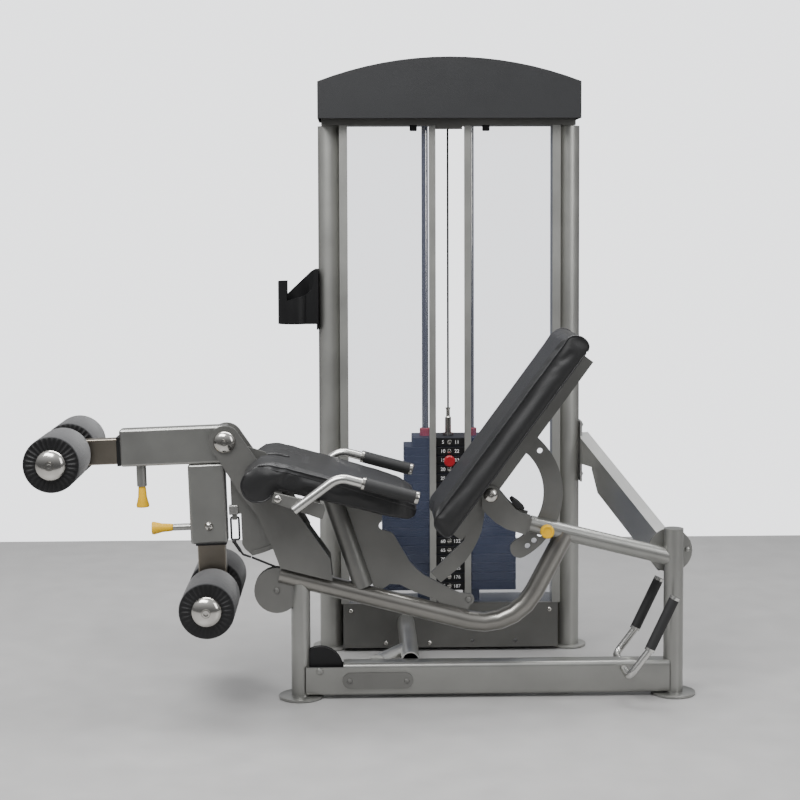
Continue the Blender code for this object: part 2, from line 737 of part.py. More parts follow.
def seat_pad():
    """The seat with its front roll, cut out for the pivot plates and slotted for the cam plate."""
    outline = [(0.108, under_seat(0.108)), (-0.225, under_seat(-0.225)), (-0.250, 0.606)]
    outline += arc(SEAT_ROLL, SEAT_ROLL_R, radians(-25), radians(-235), 12)
    outline += [(-0.300, 0.6830), (-0.262, 0.6850), (-0.210, 0.6740), (-0.100, 0.6430), (0.020, 0.6070)]
    outline += [(0.095, 0.5820), (0.126, 0.5650), (0.134, 0.5420), (0.126, 0.5270)]
    pad = bench_plate(outline, -SEAT_HALF, SEAT_HALF)
    rear, side = 0.136 - SEAT_CORNER_R, SEAT_HALF - SEAT_CORNER_R
    plan = [(-0.40, BENCH + SEAT_HALF), (-0.40, BENCH - SEAT_HALF)]
    plan += arc((rear, BENCH - side), SEAT_CORNER_R, -pi / 2, 0, 5)
    plan += arc((rear, BENCH + side), SEAT_CORNER_R, 0, pi / 2, 5)
    combine(pad, [plate(plan, 0.40, 0.80, "Z")], "INTERSECT")
    plates_way = [(-0.45, 0.40), (-0.10, 0.40), (-0.192, 0.527), (-0.308, 0.684), (-0.351, 0.755)]
    plates_way += [(-0.351, 0.85), (-0.45, 0.85)]
    cam_way = [(-0.46, 0.38), (-0.140, 0.38), (-0.140, 0.500), (-0.205, 0.612), (-0.223, 0.640)]
    cam_way += [(-0.223, 0.86), (-0.46, 0.86)]
    cut(pad, bench_plate(plates_way, -0.0465, 0.0465), bench_plate(cam_way, -0.017, 0.017))
    return piece("seat_pad", pad, VINYL)


# ---- Movement arm ----------------------------------------------------------------------------


def arm_block(corners, half, grow=0.0):
    """A box in the arm's frame: corners are its lowest and highest X, Z."""
    (x0, z0), (x1, z1) = corners
    return block((x0 - grow, -half, z0 - grow), (x1 + grow, half, z1 + grow))


def movement_arm(body):
    """Upper and lower box sections on a hub, with sleeves for both bars and bosses for both pins."""
    upper, lower = arm_block(UPPER_BOX, ARM_HALF), arm_block(LOWER_BOX, ARM_HALF)
    hub = rod((0, -0.0335, 0), (0, 0.0335, 0), HUB_R, 24)
    upper_boss = rod((UPPER_PIN_X, 0, -0.118), (UPPER_PIN_X, 0, -0.055), 0.0135)
    lower_boss = rod((-0.155, 0, LOWER_PIN_Z), (-0.100, 0, LOWER_PIN_Z), 0.0095)
    bolt = dome((-0.054, -ARM_HALF + 0.001, LOWER_PIN_Z + 0.003), (0, -1, 0), 0.012, 0.010, 12)
    arm = join(upper, lower, hub, upper_boss, lower_boss, bolt)
    slack = 0.0006
    mouth_box = ((-0.30, UPPER_BAR[0][1]), (-0.270, UPPER_BAR[1][1]))
    upper_mouth = arm_block(mouth_box, BAR_HALF + slack, slack)
    upper_pocket = arm_block(((-0.275, -0.0545), (-0.130, 0.0375)), 0.0215)
    mouth_box = ((LOWER_BAR[0][0], -0.30), (LOWER_BAR[1][0], -0.262))
    lower_mouth = arm_block(mouth_box, BAR_HALF + slack, slack)
    lower_pocket = arm_block(((-0.1005, -0.268), (-0.0095, -0.100)), 0.0215)
    cut(arm, upper_mouth, upper_pocket, lower_mouth, lower_pocket)
    axle_bore = rod((0, -0.1, 0), (0, 0.1, 0), KNEE_AXLE_R + 2 * GAP, 24)
    upper_bore = rod((UPPER_PIN_X, 0, -0.15), (UPPER_PIN_X, 0, -0.05), 0.0062)
    lower_bore = rod((-0.17, 0, LOWER_PIN_Z), (-0.095, 0, LOWER_PIN_Z), 0.0052)
    cut(arm, axle_bore, upper_bore, lower_bore)
    return piece("movement_arm", arm, STEEL, body, local=True)


def down_angle(radius, angle):
    """A point at an angle from straight down, towards the seat, in the arm's frame."""
    return (radius * sin(angle), -radius * cos(angle))


def cam_outline(radius):
    first, last = CAM_ANGLES
    steps = 12
    return [down_angle(radius, first + (last - first) * i / steps) for i in range(steps + 1)]


def cam_plate(body):
    outline = cam_outline(CAM_R) + [(0.165, -0.125), (0.108, -0.038)]
    outline += arc((0, 0), HUB_R + GAP, radians(-18), radians(-71), 8)
    x, top = LINK_CENTRE[0], LINK_CENTRE[1] + LINK_HALF[1]
    eye_half, low = 0.0065, top - 0.0063
    outline += [(0.0110, -0.062), (0.0080, -0.064), (0.0080, top + 0.010), (x - eye_half, top + 0.009)]
    outline += [(x - eye_half, low), (x + eye_half, low), (x + eye_half, top + 0.009)]
    outline += [(0.0335, top + 0.010), (0.0335, -0.290), (0.0400, -0.303)]
    sheet = plate(outline, -CAM_HALF, CAM_HALF)
    rim = plate(cam_outline(CAM_R) + cam_outline(CAM_R - 0.012)[::-1], -0.010, 0.010)
    anchor = block((0.0015, -0.009, top + 0.0085), (0.0260, 0.009, -0.182))
    lug = block((x - eye_half, -0.007, low), (x + eye_half, 0.007, top + 0.012))
    eye = rod((0, 0, top), (0.03, 0, top), LINK_WIRE_R + 0.0008, 12)
    return piece("cam_plate", cut(join(sheet, rim, anchor, lug), eye), DARK_STEEL, body, local=True)


def cable_link(body):
    """A quick link through the cam plate's eye, and the cable end that hangs on it."""
    (x, z), (across, up) = LINK_CENTRE, LINK_HALF
    corners = rounded_rectangle((x - across, z - up), (x + across, z + up), 0.0045, 3)
    loop = swept([(a, 0, b) for a, b in corners], LINK_WIRE_R, 8, closed=True)
    profile = [(0, 0.003), (0.002, 0.0055), (0.007, 0.006), (0.011, 0.003)]
    ball = turned((0.0115, 0, z - up - 0.011), (0, 0, 1), profile, 10)
    ferrule = rod((0.0115, 0, -0.2835), (0.0275, 0, -0.3100), 0.0045, 8)
    end = [(0.0250, 0, -0.3060), (0.0345, 0, -0.3200), (0.0560, 0, -0.3280)]
    stub = swept(rounded(end, 0.010), CABLE_R, 8)
    return piece("cable_link", join(loop, ball, ferrule, stub), CHROME, body, local=True)


def slider(name, corners, axis_point, body):
    """A telescoping bar with the cross spindle that carries its two rollers."""
    bar = arm_block(corners, BAR_HALF)
    x, z = axis_point
    reach = ROLLER_Y[1] + GAP
    spindle = rod((x, -reach - 0.002, z), (x, reach + 0.002, z), SPINDLE_R)
    caps = [dome((x, s * reach, z), (0, s, 0), ROLLER_CAP_R, 0.022, 18) for s in (-1, 1)]
    collars = [rod((x, s * 0.015, z), (x, s * (ROLLER_Y[0] - GAP), z), 0.021) for s in (-1, 1)]
    return piece(name, join(bar, spindle, *caps, *collars), STEEL, body, local=True)


def roller(name, axis_point, side, body, arm):
    """A foam roller on one half of a spindle; its body's empty lies on the spindle's axis."""
    x, z = axis_point
    (near, far), bevel = ROLLER_Y, 0.006
    profile = [(near, ROLLER_R - bevel), (near + bevel, ROLLER_R), (far - bevel, ROLLER_R)]
    profile += [(far, ROLLER_R - bevel), (far, SPINDLE_R + GAP), (near, SPINDLE_R + GAP)]
    shape = turned((x, 0, z), (0, side, 0), profile, 24, closed=True)
    shape.data.transform(arm.matrix_world)
    return piece(name, shape, FOAM, body)


def pull_pin(name, tip, direction, length, shaft_r, knob, body):
    """A spring pin: shaft, then a knob given as (distance, radius) from the shaft's outer end."""
    tip, direction = Vector(tip), Vector(direction)
    shaft = rod(tip, tip + (length + 0.004) * direction, shaft_r, 10)
    handle = turned(tip + length * direction, direction, knob, 16)
    return piece(name, join(shaft, handle), YELLOW, body, local=True)


TAPERED_KNOB = [(0, 0.0095), (0.004, 0.0105), (0.030, 0.0125), (0.052, 0.0180), (0.057, 0.0170)]


# ---- Backrest --------------------------------------------------------------------------------


def index_pin_centre():
    return (BACK[0] + INDEX_R * cos(INDEX_PIN_ANGLE), BACK[1] + INDEX_R * sin(INDEX_PIN_ANGLE))


def sector_outline():
    """The index sector in the backrest's frame: X along the rail, Z towards the pad."""
    inner, outer = SECTOR_R
    top, foot = radians(43) - BACK_RAKE, radians(-62) - BACK_RAKE
    middle, half = (inner + outer) / 2, (outer - inner) / 2
    end = (middle * cos(foot), middle * sin(foot))
    outline = arc((0, 0), outer, top, foot, 18)
    outline += arc(end, half, foot, foot - pi, 8)[1:-1]
    outline += arc((0, 0), inner, foot, top, 18)
    inside = RAIL_V[1] - 0.002
    return outline + [(0.150, -0.004), (0.150, inside), (0.205, inside), (0.205, -0.004)]


def back_frame(body):
    """The channel rail, open at the rear, and the index sector welded inside it."""
    (low_u, high_u), (low_v, high_v), half = RAIL_U, RAIL_V, RAIL_HALF
    rail = block((low_u, -half, low_v), (high_u, half, high_v))
    hollow = block((low_u - 0.1, -half + WALL, low_v - 0.1), (high_u + 0.1, half - WALL, high_v - WALL))
    sector = plate(sector_outline(), *SECTOR_Y)
    frame = join(cut(rail, hollow), sector)
    angles = [INDEX_PIN_ANGLE - step * INDEX_STEP for step in (0, 1, 2, 3)]
    holes = [rod((0, -0.05, 0), (0, 0.05, 0), BACK_BOLT_R + GAP)]
    for angle in angles + [radians(40)]:
        x, z = INDEX_R * cos(angle - BACK_RAKE), INDEX_R * sin(angle - BACK_RAKE)
        holes.append(rod((x, -0.01, z), (x, 0.02, z), 0.0080))
    return piece("back_frame", cut(frame, *holes), DARK_STEEL, body, local=True)


def back_pad(body):
    (low_u, high_u), (low_v, high_v) = PAD_U, PAD_V
    corners = (
        ((high_u, high_v), 0.035, 0),
        ((low_u, high_v), 0.030, pi / 2),
        ((low_u, low_v), 0.015, pi),
        ((high_u, low_v), 0.028, 1.5 * pi),
    )
    outline = []
    for (u, v), radius, start in corners:
        centre = (u - radius if u > 0 else u + radius, v - radius if v == high_v else v + radius)
        outline += arc(centre, radius, start, start + pi / 2, 5)
    return piece("back_pad", plate(outline, -PAD_HALF, PAD_HALF), VINYL, body, local=True)


# ---- Pulleys and cables ----------------------------------------------------------------------


def pulley(name, centre, axis, radius, half, body):
    bore = PULLEY_BOLT_R + GAP
    deep = radius - GROOVE
    profile = [(-half, radius), (-half + 0.0025, radius), (-0.0025, deep), (0.0025, deep)]
    profile += [(half - 0.0025, radius), (half, radius), (half, bore), (-half, bore)]
    return piece(name, turned(centre, axis, profile, 24, closed=True), PLASTIC, body)


def pulley_guard():
    """Two discs on the front pulley's bolt."""
    bolt = cross_rod(FRONT_PULLEY, PULLEY_BOLT_R, -0.015, 0.015)
    discs = [cross_rod(FRONT_PULLEY, GUARD_R, *sorted((s * 0.0125, s * 0.0155)), 28) for s in (-1, 1)]
    heads = [dome(bench(*FRONT_PULLEY, s * 0.015), (0, s, 0), 0.009, 0.006, 10) for s in (-1, 1)]
    return piece("pulley_guard", join(bolt, *discs, *heads), DARK_STEEL)


def drive_cable(arm):
    """From the cam's rim over the front pulley, down inside the post and into the floor tube."""
    start = arm.matrix_world @ Vector((0.0580, 0, -0.3288))
    around = cable_turn(FRONT_PULLEY_R)
    reach = hypot(start.x - FRONT_PULLEY[0], start.z - FRONT_PULLEY[1])
    towards = atan2(start.z - FRONT_PULLEY[1], start.x - FRONT_PULLEY[0])
    leave = towards - acos(around / reach)
    points = [(start.x, start.z)] + arc(FRONT_PULLEY, around, leave, 0, 18)
    low, under = base_pulley_centre(), cable_turn(BASE_PULLEY_R)
    points += arc(low, under, pi, 1.5 * pi, 16) + [(-0.050, low[1] - under)]
    cable = swept([bench(*p) for p in points], CABLE_R, 6)
    ferrule = rod(bench(-0.080, low[1] - under), bench(-0.050, low[1] - under), 0.0045, 8)
    return piece("drive_cable", join(cable, ferrule), WIRE)


def lift_cable():
    x, y = STACK_X, STACK_MIDDLE_Y
    return piece("lift_cable", rod((x, y, 0.7425), (x, y, TOP_PULLEY_Z), CABLE_R, 10), WIRE)


# ---- Weight tower ----------------------------------------------------------------------------


def tower_upright(name, x, inward):
    """A round upright on a foot, with the channel that holds the clear panel's outer edge."""
    profile = post_profile(TOWER_FOOT_R, FOOT_THICK, UPRIGHT_R, UPRIGHT_TOP)
    post = turned((x, TOWER, 0), (0, 0, 1), profile, 22)
    ends = sorted((x + inward * 0.030, x + inward * 0.0545))
    channel = block((ends[0], TOWER - 0.064, PANEL_Z[0]), (ends[1], TOWER, UPRIGHT_TOP))
    keep_bore = rod((x, TOWER, FOOT_THICK + WALL), (x, TOWER, 2), UPRIGHT_R - WALL, 22)
    slot_ends = sorted((x + inward * 0.0480, x + inward * 0.060))
    slot = block((slot_ends[0], PANEL_Y[0] - 0.0005, 0.1), (slot_ends[1], PANEL_Y[1] + 0.0005, 1.7))
    return piece(name, cut(join(post, channel), keep_bore, slot), STEEL)


def guard_panel(name, x, inward):
    inner = SLOT_X[0] - 0.0110 if inward > 0 else SLOT_X[1] + 0.0110
    ends = sorted((x + inward * 0.0490, inner))
    low, high = PANEL_Z[0] + 0.002, PANEL_Z[1] - 0.002
    return piece(name, block((ends[0], PANEL_Y[0], low), (ends[1], PANEL_Y[1], high)), ACRYLIC)


def slot_trim(name, side):
    """The strip on the inner edge of a clear panel, beside the selector's slot."""
    edge = SLOT_X[0] if side < 0 else SLOT_X[1]
    ends = sorted((edge, edge + side * 0.0200))
    strip = block((ends[0], TOWER - 0.066, PANEL_Z[0]), (ends[1], TOWER - 0.0520, PANEL_Z[1]))
    ends = sorted((edge + side * 0.0105, edge + side * 0.0300))
    groove = block((ends[0], PANEL_Y[0] - 0.0005, 0.1), (ends[1], PANEL_Y[1] + 0.0005, 1.7))
    return piece(name, cut(strip, groove), STEEL)


def top_pulley_centre():
    return (STACK_X, STACK_MIDDLE_Y + cable_turn(TOP_PULLEY_R), TOP_PULLEY_Z)


def top_beam():
    """The hollow beam across the uprights, with the pulley's bracket and the slot's black header."""
    left, right = UPRIGHT_X[0] - 0.0235, UPRIGHT_X[1] + 0.0155
    near, far = TOWER - 0.066, TOWER + 0.040
    low, high = TOP_BEAM_Z

    def section(x, inset):
        y0, y1, z0, z1 = near + inset, far - inset, low + inset, high - inset
        return [Vector((x, y, z)) for y, z in ((y0, z0), (y1, z0), (y1, z1), (y0, z1))]

    rings = [section(left, 0), section(right, 0), section(right, WALL), section(left, WALL)]
    shell = loft(rings, closed=True)
    header = block((STACK_X - 0.0400, near, 1.596), (STACK_X + 0.0400, near + 0.020, low + 0.002))
    centre = Vector(top_pulley_centre())
    cheeks = []
    for side in (-1, 1):
        ends = sorted((STACK_X + side * 0.0125, STACK_X + side * 0.0155))
        corner = (ends[1], centre.y + 0.012, TOP_PULLEY_Z + 0.014)
        cheeks.append(block((ends[0], TOWER + 0.020, high - 0.002), corner))
    bolt = rod(centre - Vector((0.019, 0, 0)), centre + Vector((0.019, 0, 0)), PULLEY_BOLT_R)
    way = rod((STACK_X, STACK_MIDDLE_Y, 1.5), (STACK_X, STACK_MIDDLE_Y, 1.7), 0.008, 12)
    reach = Vector((0.0115, 0, 0))
    wheel = rod(centre - reach, centre + reach, TOP_PULLEY_R + 0.003, 20)
    beam_shell = cut(join(shell, header), way, wheel)
    return piece("top_beam", join(beam_shell, *cheeks, bolt), DARK_STEEL)


def cap_outline(inset):
    """The cap's front outline: upright sides and a shallow arch between them."""
    left, right = CAP_X[0] + inset, CAP_X[1] - inset
    side, apex = CAP_Z[1] - inset, CAP_APEX - inset
    half, rise = (right - left) / 2, apex - side
    radius = (half * half + rise * rise) / (2 * rise)
    centre = ((left + right) / 2, apex - radius)
    spread = acos((side - centre[1]) / radius)
    top = arc(centre, radius, pi / 2 - spread, pi / 2 + spread, 16)
    floor = CAP_Z[0] - (0.1 if inset else 0)
    return [(right, floor)] + top + [(left, floor)]


def top_cap():
    near, far = CAP_Y
    shell = plate(cap_outline(0), near, far)
    hollow = plate(cap_outline(0.004), near + 0.004, far - 0.004)
    return piece("top_cap", cut(shell, hollow), CAP_PLASTIC)


def base_panel():
    """The cover at the tower's foot, open underneath."""
    (left, right), (low, high) = BASE_PANEL_X, BASE_PANEL_Z
    shell = block((left, PANEL_Y[0], low), (right, TOWER + 0.080, high))
    nearest = (left + 0.004, PANEL_Y[0] + 0.004, low - 0.1)
    inside = block(nearest, (right - 0.004, TOWER + 0.076, high - 0.004))
    ports = [
        rod((STACK_X + dx, PANEL_Y[0] - 0.01, 0.030), (STACK_X + dx, PANEL_Y[0] + 0.01, 0.030), 0.005, 10)
        for dx in (0.069, 0.202)
    ]
    return piece("base_panel", cut(shell, inside, *ports), DARK_STEEL)


def plate_levels(first, last):
    """Rings down a pile of weight plates, with a shallow groove between each two."""
    rings = []

    def level(half, z, inset):
        x0, x1 = STACK_X - half + inset, STACK_X + half - inset
        y0, y1 = STACK_Y[0] + inset, STACK_Y[1] - inset
        return [Vector(p) for p in ((x0, y0, z), (x1, y0, z), (x1, y1, z), (x0, y1, z))]

    for row in range(first, last):
        top = STACK_TOP - row * PLATE_PITCH
        low = top - PLATE_PITCH
        half = PLATE_HALVES[row]
        rings += [level(half, top - PLATE_GROOVE, 0), level(half, low + PLATE_GROOVE, 0)]
        if row + 1 < last:
            waist = min(half, PLATE_HALVES[row + 1])
            rings += [level(waist, low + PLATE_GROOVE, 0.003), level(waist, low - PLATE_GROOVE, 0.003)]
    return rings


def bore_stack(pile):
    """Bores for the two guide rods and the selector stem."""
    x, y = STACK_X, STACK_MIDDLE_Y
    bores = [rod((x + dx, y, 0), (x + dx, y, 1), ROD_R + 0.0015) for dx in (-ROD_OFFSET, ROD_OFFSET)]
    return cut(pile, *bores, rod((x, y, 0), (x, y, 1), STEM_R + 0.001))


def weight_stack():
    return piece("weight_stack", bore_stack(loft(plate_levels(LIFTED, len(PLATE_HALVES)))), IRON)


def selector_height():
    return STACK_TOP - (LIFTED - 0.5) * PLATE_PITCH


def lifted_plates(body):
    pile = loft(plate_levels(0, LIFTED))
    x, y = STACK_X, STACK_MIDDLE_Y
    bushes = [
        rod((x + dx, y, STACK_TOP - 0.004), (x + dx, y, 0.680), 0.0165)
        for dx in (-ROD_OFFSET, ROD_OFFSET)
    ]
    pile = bore_stack(join(pile, *bushes))
    z = selector_height()
    pin_hole = rod((x, STACK_Y[0] - 0.02, z), (x, y + 0.020, z), 0.0052, 10)
    return piece("lifted_plates", cut(pile, pin_hole), IRON, body)


def selector_stem(body):
    x, y = STACK_X, STACK_MIDDLE_Y
    low, deck = 0.190, STACK_TOP + GAP
    profile = [(0, STEM_R - 0.002), (0.004, STEM_R), (deck - low, STEM_R), (deck - low, 0.0170)]
    profile += [(0.664 - low, 0.0170), (0.664 - low, 0.0095), (0.712 - low, 0.0095)]
    profile += [(0.716 - low, 0.0060), (0.736 - low, 0.0060), (0.742 - low, 0.0085)]
    stem = turned((x, y, low), (0, 0, 1), profile, 14)
    z = selector_height()
    cut(stem, rod((x, y - 0.05, z), (x, y + 0.05, z), 0.0052, 10))
    return piece("selector_stem", stem, CHROME, body)


def selector_pin(body):
    x, z = STACK_X, selector_height()
    near = STACK_Y[0] - 0.002
    shaft = rod((x, near - 0.004, z), (x, STACK_MIDDLE_Y + 0.018, z), 0.0047, 10)
    profile = [(0, 0.010), (0.004, 0.010), (0.008, 0.015)]
    profile += [(0.014, 0.0175), (0.026, 0.0175), (0.030, 0.014)]
    knob = turned((x, near, z), (0, -1, 0), profile, 16)
    return piece("selector_pin", join(shaft, knob), RED, body)


def guide_rod(name, side):
    x, y = STACK_X + side * ROD_OFFSET, STACK_MIDDLE_Y
    return piece(name, rod((x, y, BASE_PANEL_Z[1] + GAP), (x, y, UPRIGHT_TOP), ROD_R, 14), CHROME)


def stack_cushion():
    """Rubber blocks round the guide rods' feet, on one strip."""
    x, y, low = STACK_X, STACK_MIDDLE_Y, BASE_PANEL_Z[1] + GAP
    high = STACK_TOP - len(PLATE_HALVES) * PLATE_PITCH - GAP
    rods = (x - ROD_OFFSET, x + ROD_OFFSET)
    strip = block((x - 0.09, y - 0.025, low), (x + 0.09, y + 0.025, low + 0.006))
    feet = [block((at - 0.024, y - 0.03, low), (at + 0.024, y + 0.03, high)) for at in rods]
    bores = [rod((at, y, 0), (at, y, 1), ROD_R + 0.0006, 14) for at in rods]
    return piece("stack_cushion", cut(join(strip, *feet), *bores), RUBBER)


def cup_holder():
    """A cup with a low front, a finger at its far left and a tall back on a plate."""
    x, y, low = -0.2235, TOWER - 0.012, 1.006
    face = UPRIGHT_X[0] - UPRIGHT_R - GAP
    cup = rod((x, y, low), (x, y, 1.20), 0.050, 24)
    neck = block((x, y - 0.034, low), (face, y + 0.034, 1.173))
    back = block((face - 0.005, TOWER - 0.034, 0.988), (face, TOWER + 0.030, 1.173))
    body = join(cup, neck, back)
    over = [(-0.30, 1.137), (-0.2455, 1.137), (-0.2455, 1.097), (-0.1734, 1.165), (-0.1600, 1.173)]
    over += [(face + 0.01, 1.173), (face + 0.01, 1.3), (-0.30, 1.3)]
    near = [(-0.2455, 1.078), (-0.1900, 1.094), (-0.1700, 1.110), (-0.1640, 1.130)]
    near += [(-0.1640, 1.3), (-0.2455, 1.3)]
    hollow = rod((x, y, low + 0.005), (x, y, 1.4), 0.046, 24)
    cut(body, plate(over, y - 0.1, y + 0.1), plate(near, y - 0.1, y + 0.010), hollow)
    return piece("cup_holder", body, PLASTIC)


# ---- Assembly --------------------------------------------------------------------------------


def build_frame():
    front_post()
    rear_post()
    base_tube()
    base_cover_plate()
    main_tube()
    rear_tube()
    seat_post()
    seat_gusset()
    back_brace()
    knee_axle()
    back_fork()
    back_axle()
    cross_tube()
    rear_brace()
    rear_handle_bar()
    seat_handle_frame()
    seat_pad()
    pulley_guard()
    for name, side in (("near", -1), ("far", 1)):
        knee_plate("knee_plate_" + name, side)
        rear_grip("rear_grip_" + name, side)
        seat_grip("seat_grip_" + name, side)


def build_tower():
    for name, x, inward in (("left", UPRIGHT_X[0], 1), ("right", UPRIGHT_X[1], -1)):
        tower_upright("tower_upright_" + name, x, inward)
        guard_panel("guard_panel_" + name, x, inward)
        slot_trim("slot_trim_" + name, -inward)
        guide_rod("guide_rod_" + name, -inward)
    top_beam()
    top_cap()
    base_panel()
    weight_stack()
    stack_cushion()
    cup_holder()
    lift_cable()


def build_arm():
    arm = body_frame("arm_swing", bench(*KNEE), ARM_TILT)
    movement_arm(arm)
    cam_plate(arm)
    cable_link(arm)
    drive_cable(arm)
    bars = (("upper", UPPER_BAR, UPPER_ROLLER), ("lower", LOWER_BAR, LOWER_ROLLER))
    for name, corners, axis_point in bars:
        hub = arm.matrix_world @ Vector((axis_point[0], 0, axis_point[1]))
        slide = body_frame(name + "_slide", bench(*KNEE), ARM_TILT, arm)
        slider(name + "_slider", corners, axis_point, slide)
        for place, side in (("near", -1), ("far", 1)):
            spin = body_frame(f"{name}_{place}_spin", hub, 0, slide)
            roller(f"{name}_roller_{place}", axis_point, side, spin, arm)
    pins = body_frame("arm_pins", bench(*KNEE), ARM_TILT, arm)
    low = UPPER_BAR[0][1] - 0.0015
    pull_pin("upper_pull_pin", (UPPER_PIN_X, 0, low), (0, 0, -1), 0.1185 + low, 0.0055, TAPERED_KNOB, pins)
    left = LOWER_BAR[0][0] - 0.0015
    pull_pin("lower_pull_pin", (left, 0, LOWER_PIN_Z), (-1, 0, 0), 0.1555 + left, 0.0045, TAPERED_KNOB, pins)


def build_backrest():
    back = body_frame("back_recline", bench(*BACK), BACK_RAKE)
    back_frame(back)
    back_pad(back)
    x, z = index_pin_centre()
    tip = SECTOR_Y[0] - 0.0012
    pin = body_frame("back_pin", bench(x, z))
    knob = [(0, 0.0150), (0.003, 0.0190), (0.016, 0.0190)]
    knob += [(0.0195, 0.0165), (0.0195, 0.0125), (0.017, 0.0120)]
    pull_pin("back_pull_pin", (0, tip, 0), (0, -1, 0), 0.0465 + tip, 0.0060, knob, pin)


def build_moving_stack():
    lift = body_frame("stack_lift", (STACK_X, STACK_MIDDLE_Y, STACK_TOP))
    lifted_plates(lift)
    selector_stem(lift)
    selector_pin(body_frame("pin_slide", (STACK_X, STACK_Y[0], selector_height()), 0, lift))


def build_pulleys():
    wheels = (
        ("front_pulley", bench(*FRONT_PULLEY), (0, 1, 0), FRONT_PULLEY_R),
        ("base_pulley", bench(*base_pulley_centre()), (0, 1, 0), BASE_PULLEY_R),
        ("top_pulley", Vector(top_pulley_centre()), (1, 0, 0), TOP_PULLEY_R),
    )
    for name, centre, axis, radius in wheels:
        pulley(name, centre, axis, radius, PULLEY_HALF, body_frame(name + "_spin", centre))


def main():
    for obj in list(bpy.data.objects):
        bpy.data.objects.remove(obj)
    build_frame()
    build_tower()
    build_arm()
    build_backrest()
    build_moving_stack()
    build_pulleys()


main()
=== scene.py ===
"""Looks of the leg extension machine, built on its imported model, in metres and in its frame."""

import json
from math import acos, atan2, cos, hypot, pi, radians, sin, tan

import bmesh
import bpy
import numpy as np
from mathutils import Matrix, Vector
from mathutils.bvhtree import BVHTree

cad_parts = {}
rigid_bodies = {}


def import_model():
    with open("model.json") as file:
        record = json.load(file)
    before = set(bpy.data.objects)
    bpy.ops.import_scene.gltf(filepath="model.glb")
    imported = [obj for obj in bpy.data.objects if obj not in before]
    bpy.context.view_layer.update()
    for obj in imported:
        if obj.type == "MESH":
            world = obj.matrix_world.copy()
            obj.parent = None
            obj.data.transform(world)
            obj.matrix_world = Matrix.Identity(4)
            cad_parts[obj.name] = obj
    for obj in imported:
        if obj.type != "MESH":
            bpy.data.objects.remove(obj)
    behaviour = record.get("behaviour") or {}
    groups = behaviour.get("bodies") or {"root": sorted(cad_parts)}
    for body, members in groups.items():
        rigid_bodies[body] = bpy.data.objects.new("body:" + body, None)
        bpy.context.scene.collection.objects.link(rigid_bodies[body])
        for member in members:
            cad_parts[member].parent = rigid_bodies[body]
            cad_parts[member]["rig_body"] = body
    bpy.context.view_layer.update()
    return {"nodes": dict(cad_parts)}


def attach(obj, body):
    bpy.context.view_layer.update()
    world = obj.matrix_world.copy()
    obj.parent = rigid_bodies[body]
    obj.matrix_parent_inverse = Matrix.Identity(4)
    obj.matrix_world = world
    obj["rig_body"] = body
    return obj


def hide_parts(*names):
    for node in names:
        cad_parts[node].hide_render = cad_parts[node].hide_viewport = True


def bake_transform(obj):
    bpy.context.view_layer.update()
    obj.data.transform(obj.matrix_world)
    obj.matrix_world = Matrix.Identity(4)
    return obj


for startup in list(bpy.data.objects):
    bpy.data.objects.remove(startup)
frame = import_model()

# The machine's planes and pivots, as in its CAD model
BENCH = -0.20
TOWER = 0.34
KNEE = Vector((-0.396, BENCH, 0.720))
ARM_TILT = radians(2)
BACK = Vector((0.333, BENCH, 0.567))
BACK_RAKE = radians(53.6)
STACK_X = 0.2475
STACK_Y = (TOWER - 0.050, TOWER + 0.070)
STACK_TOP = 0.657
PLATE_PITCH = 0.0278
PLATE_HALVES = [0.112] + [0.137] * 7 + [0.205] * 9
LIFTED = 3
ARM = Matrix.Translation(KNEE) @ Matrix.Rotation(-ARM_TILT, 4, "Y")
RAKED = Matrix.Translation(BACK) @ Matrix.Rotation(-BACK_RAKE, 4, "Y")


# ---- Camera, floor and light -------------------------------------------------------------------


def make_camera():
    """A long lens at chest height, almost square to the bench."""
    place, lens = (-0.0347, -4.798, 1.343), 75.375
    yaw, tilt, roll = radians(1.5), radians(3.11), radians(-0.185)
    forward = Vector((sin(yaw) * cos(tilt), cos(yaw) * cos(tilt), -sin(tilt)))
    right = forward.cross(Vector((0, 0, 1))).normalized()
    up = right.cross(forward)
    across = right * cos(roll) + up * sin(roll)
    upward = up * cos(roll) - right * sin(roll)
    camera = bpy.data.objects.new("camera", bpy.data.cameras.new("camera"))
    bpy.context.scene.collection.objects.link(camera)
    turn = Matrix((across, upward, -forward)).transposed().to_4x4()
    camera.matrix_world = Matrix.Translation(place) @ turn
    camera.data.lens = lens
    camera.data.sensor_width = 36
    camera.data.shift_y = -0.12
    bpy.context.scene.camera = camera


def make_floor():
    """A long strip of floor. Its far edge is where the wall starts, and the world shows as the wall."""
    half_length, half_width = 30, 2.06
    bm = bmesh.new()
    bmesh.ops.create_grid(bm, x_segments=1, y_segments=1, size=1)
    bmesh.ops.scale(bm, vec=(half_length, half_width, 1), verts=bm.verts)
    mesh = bpy.data.meshes.new("floor")
    bm.to_mesh(mesh)
    bm.free()
    floor = bpy.data.objects.new("floor", mesh)
    bpy.context.scene.collection.objects.link(floor)
    floor.location.z = -0.0005
    mesh.materials.append(surface("pale_floor", (0.40, 0.395, 0.39), 0.34, grain=(60, 0.02), vary=0.05))


def area_light(name, place, target, size, power, colour=(1, 1, 1)):
    data = bpy.data.lights.new(name, "AREA")
    data.shape = "RECTANGLE"
    data.size, data.size_y = size
    data.energy = power
    data.color = colour
    light = bpy.data.objects.new(name, data)
    bpy.context.scene.collection.objects.link(light)
    light.location = place
    light.rotation_euler = (Vector(target) - Vector(place)).to_track_quat("-Z", "Y").to_euler()


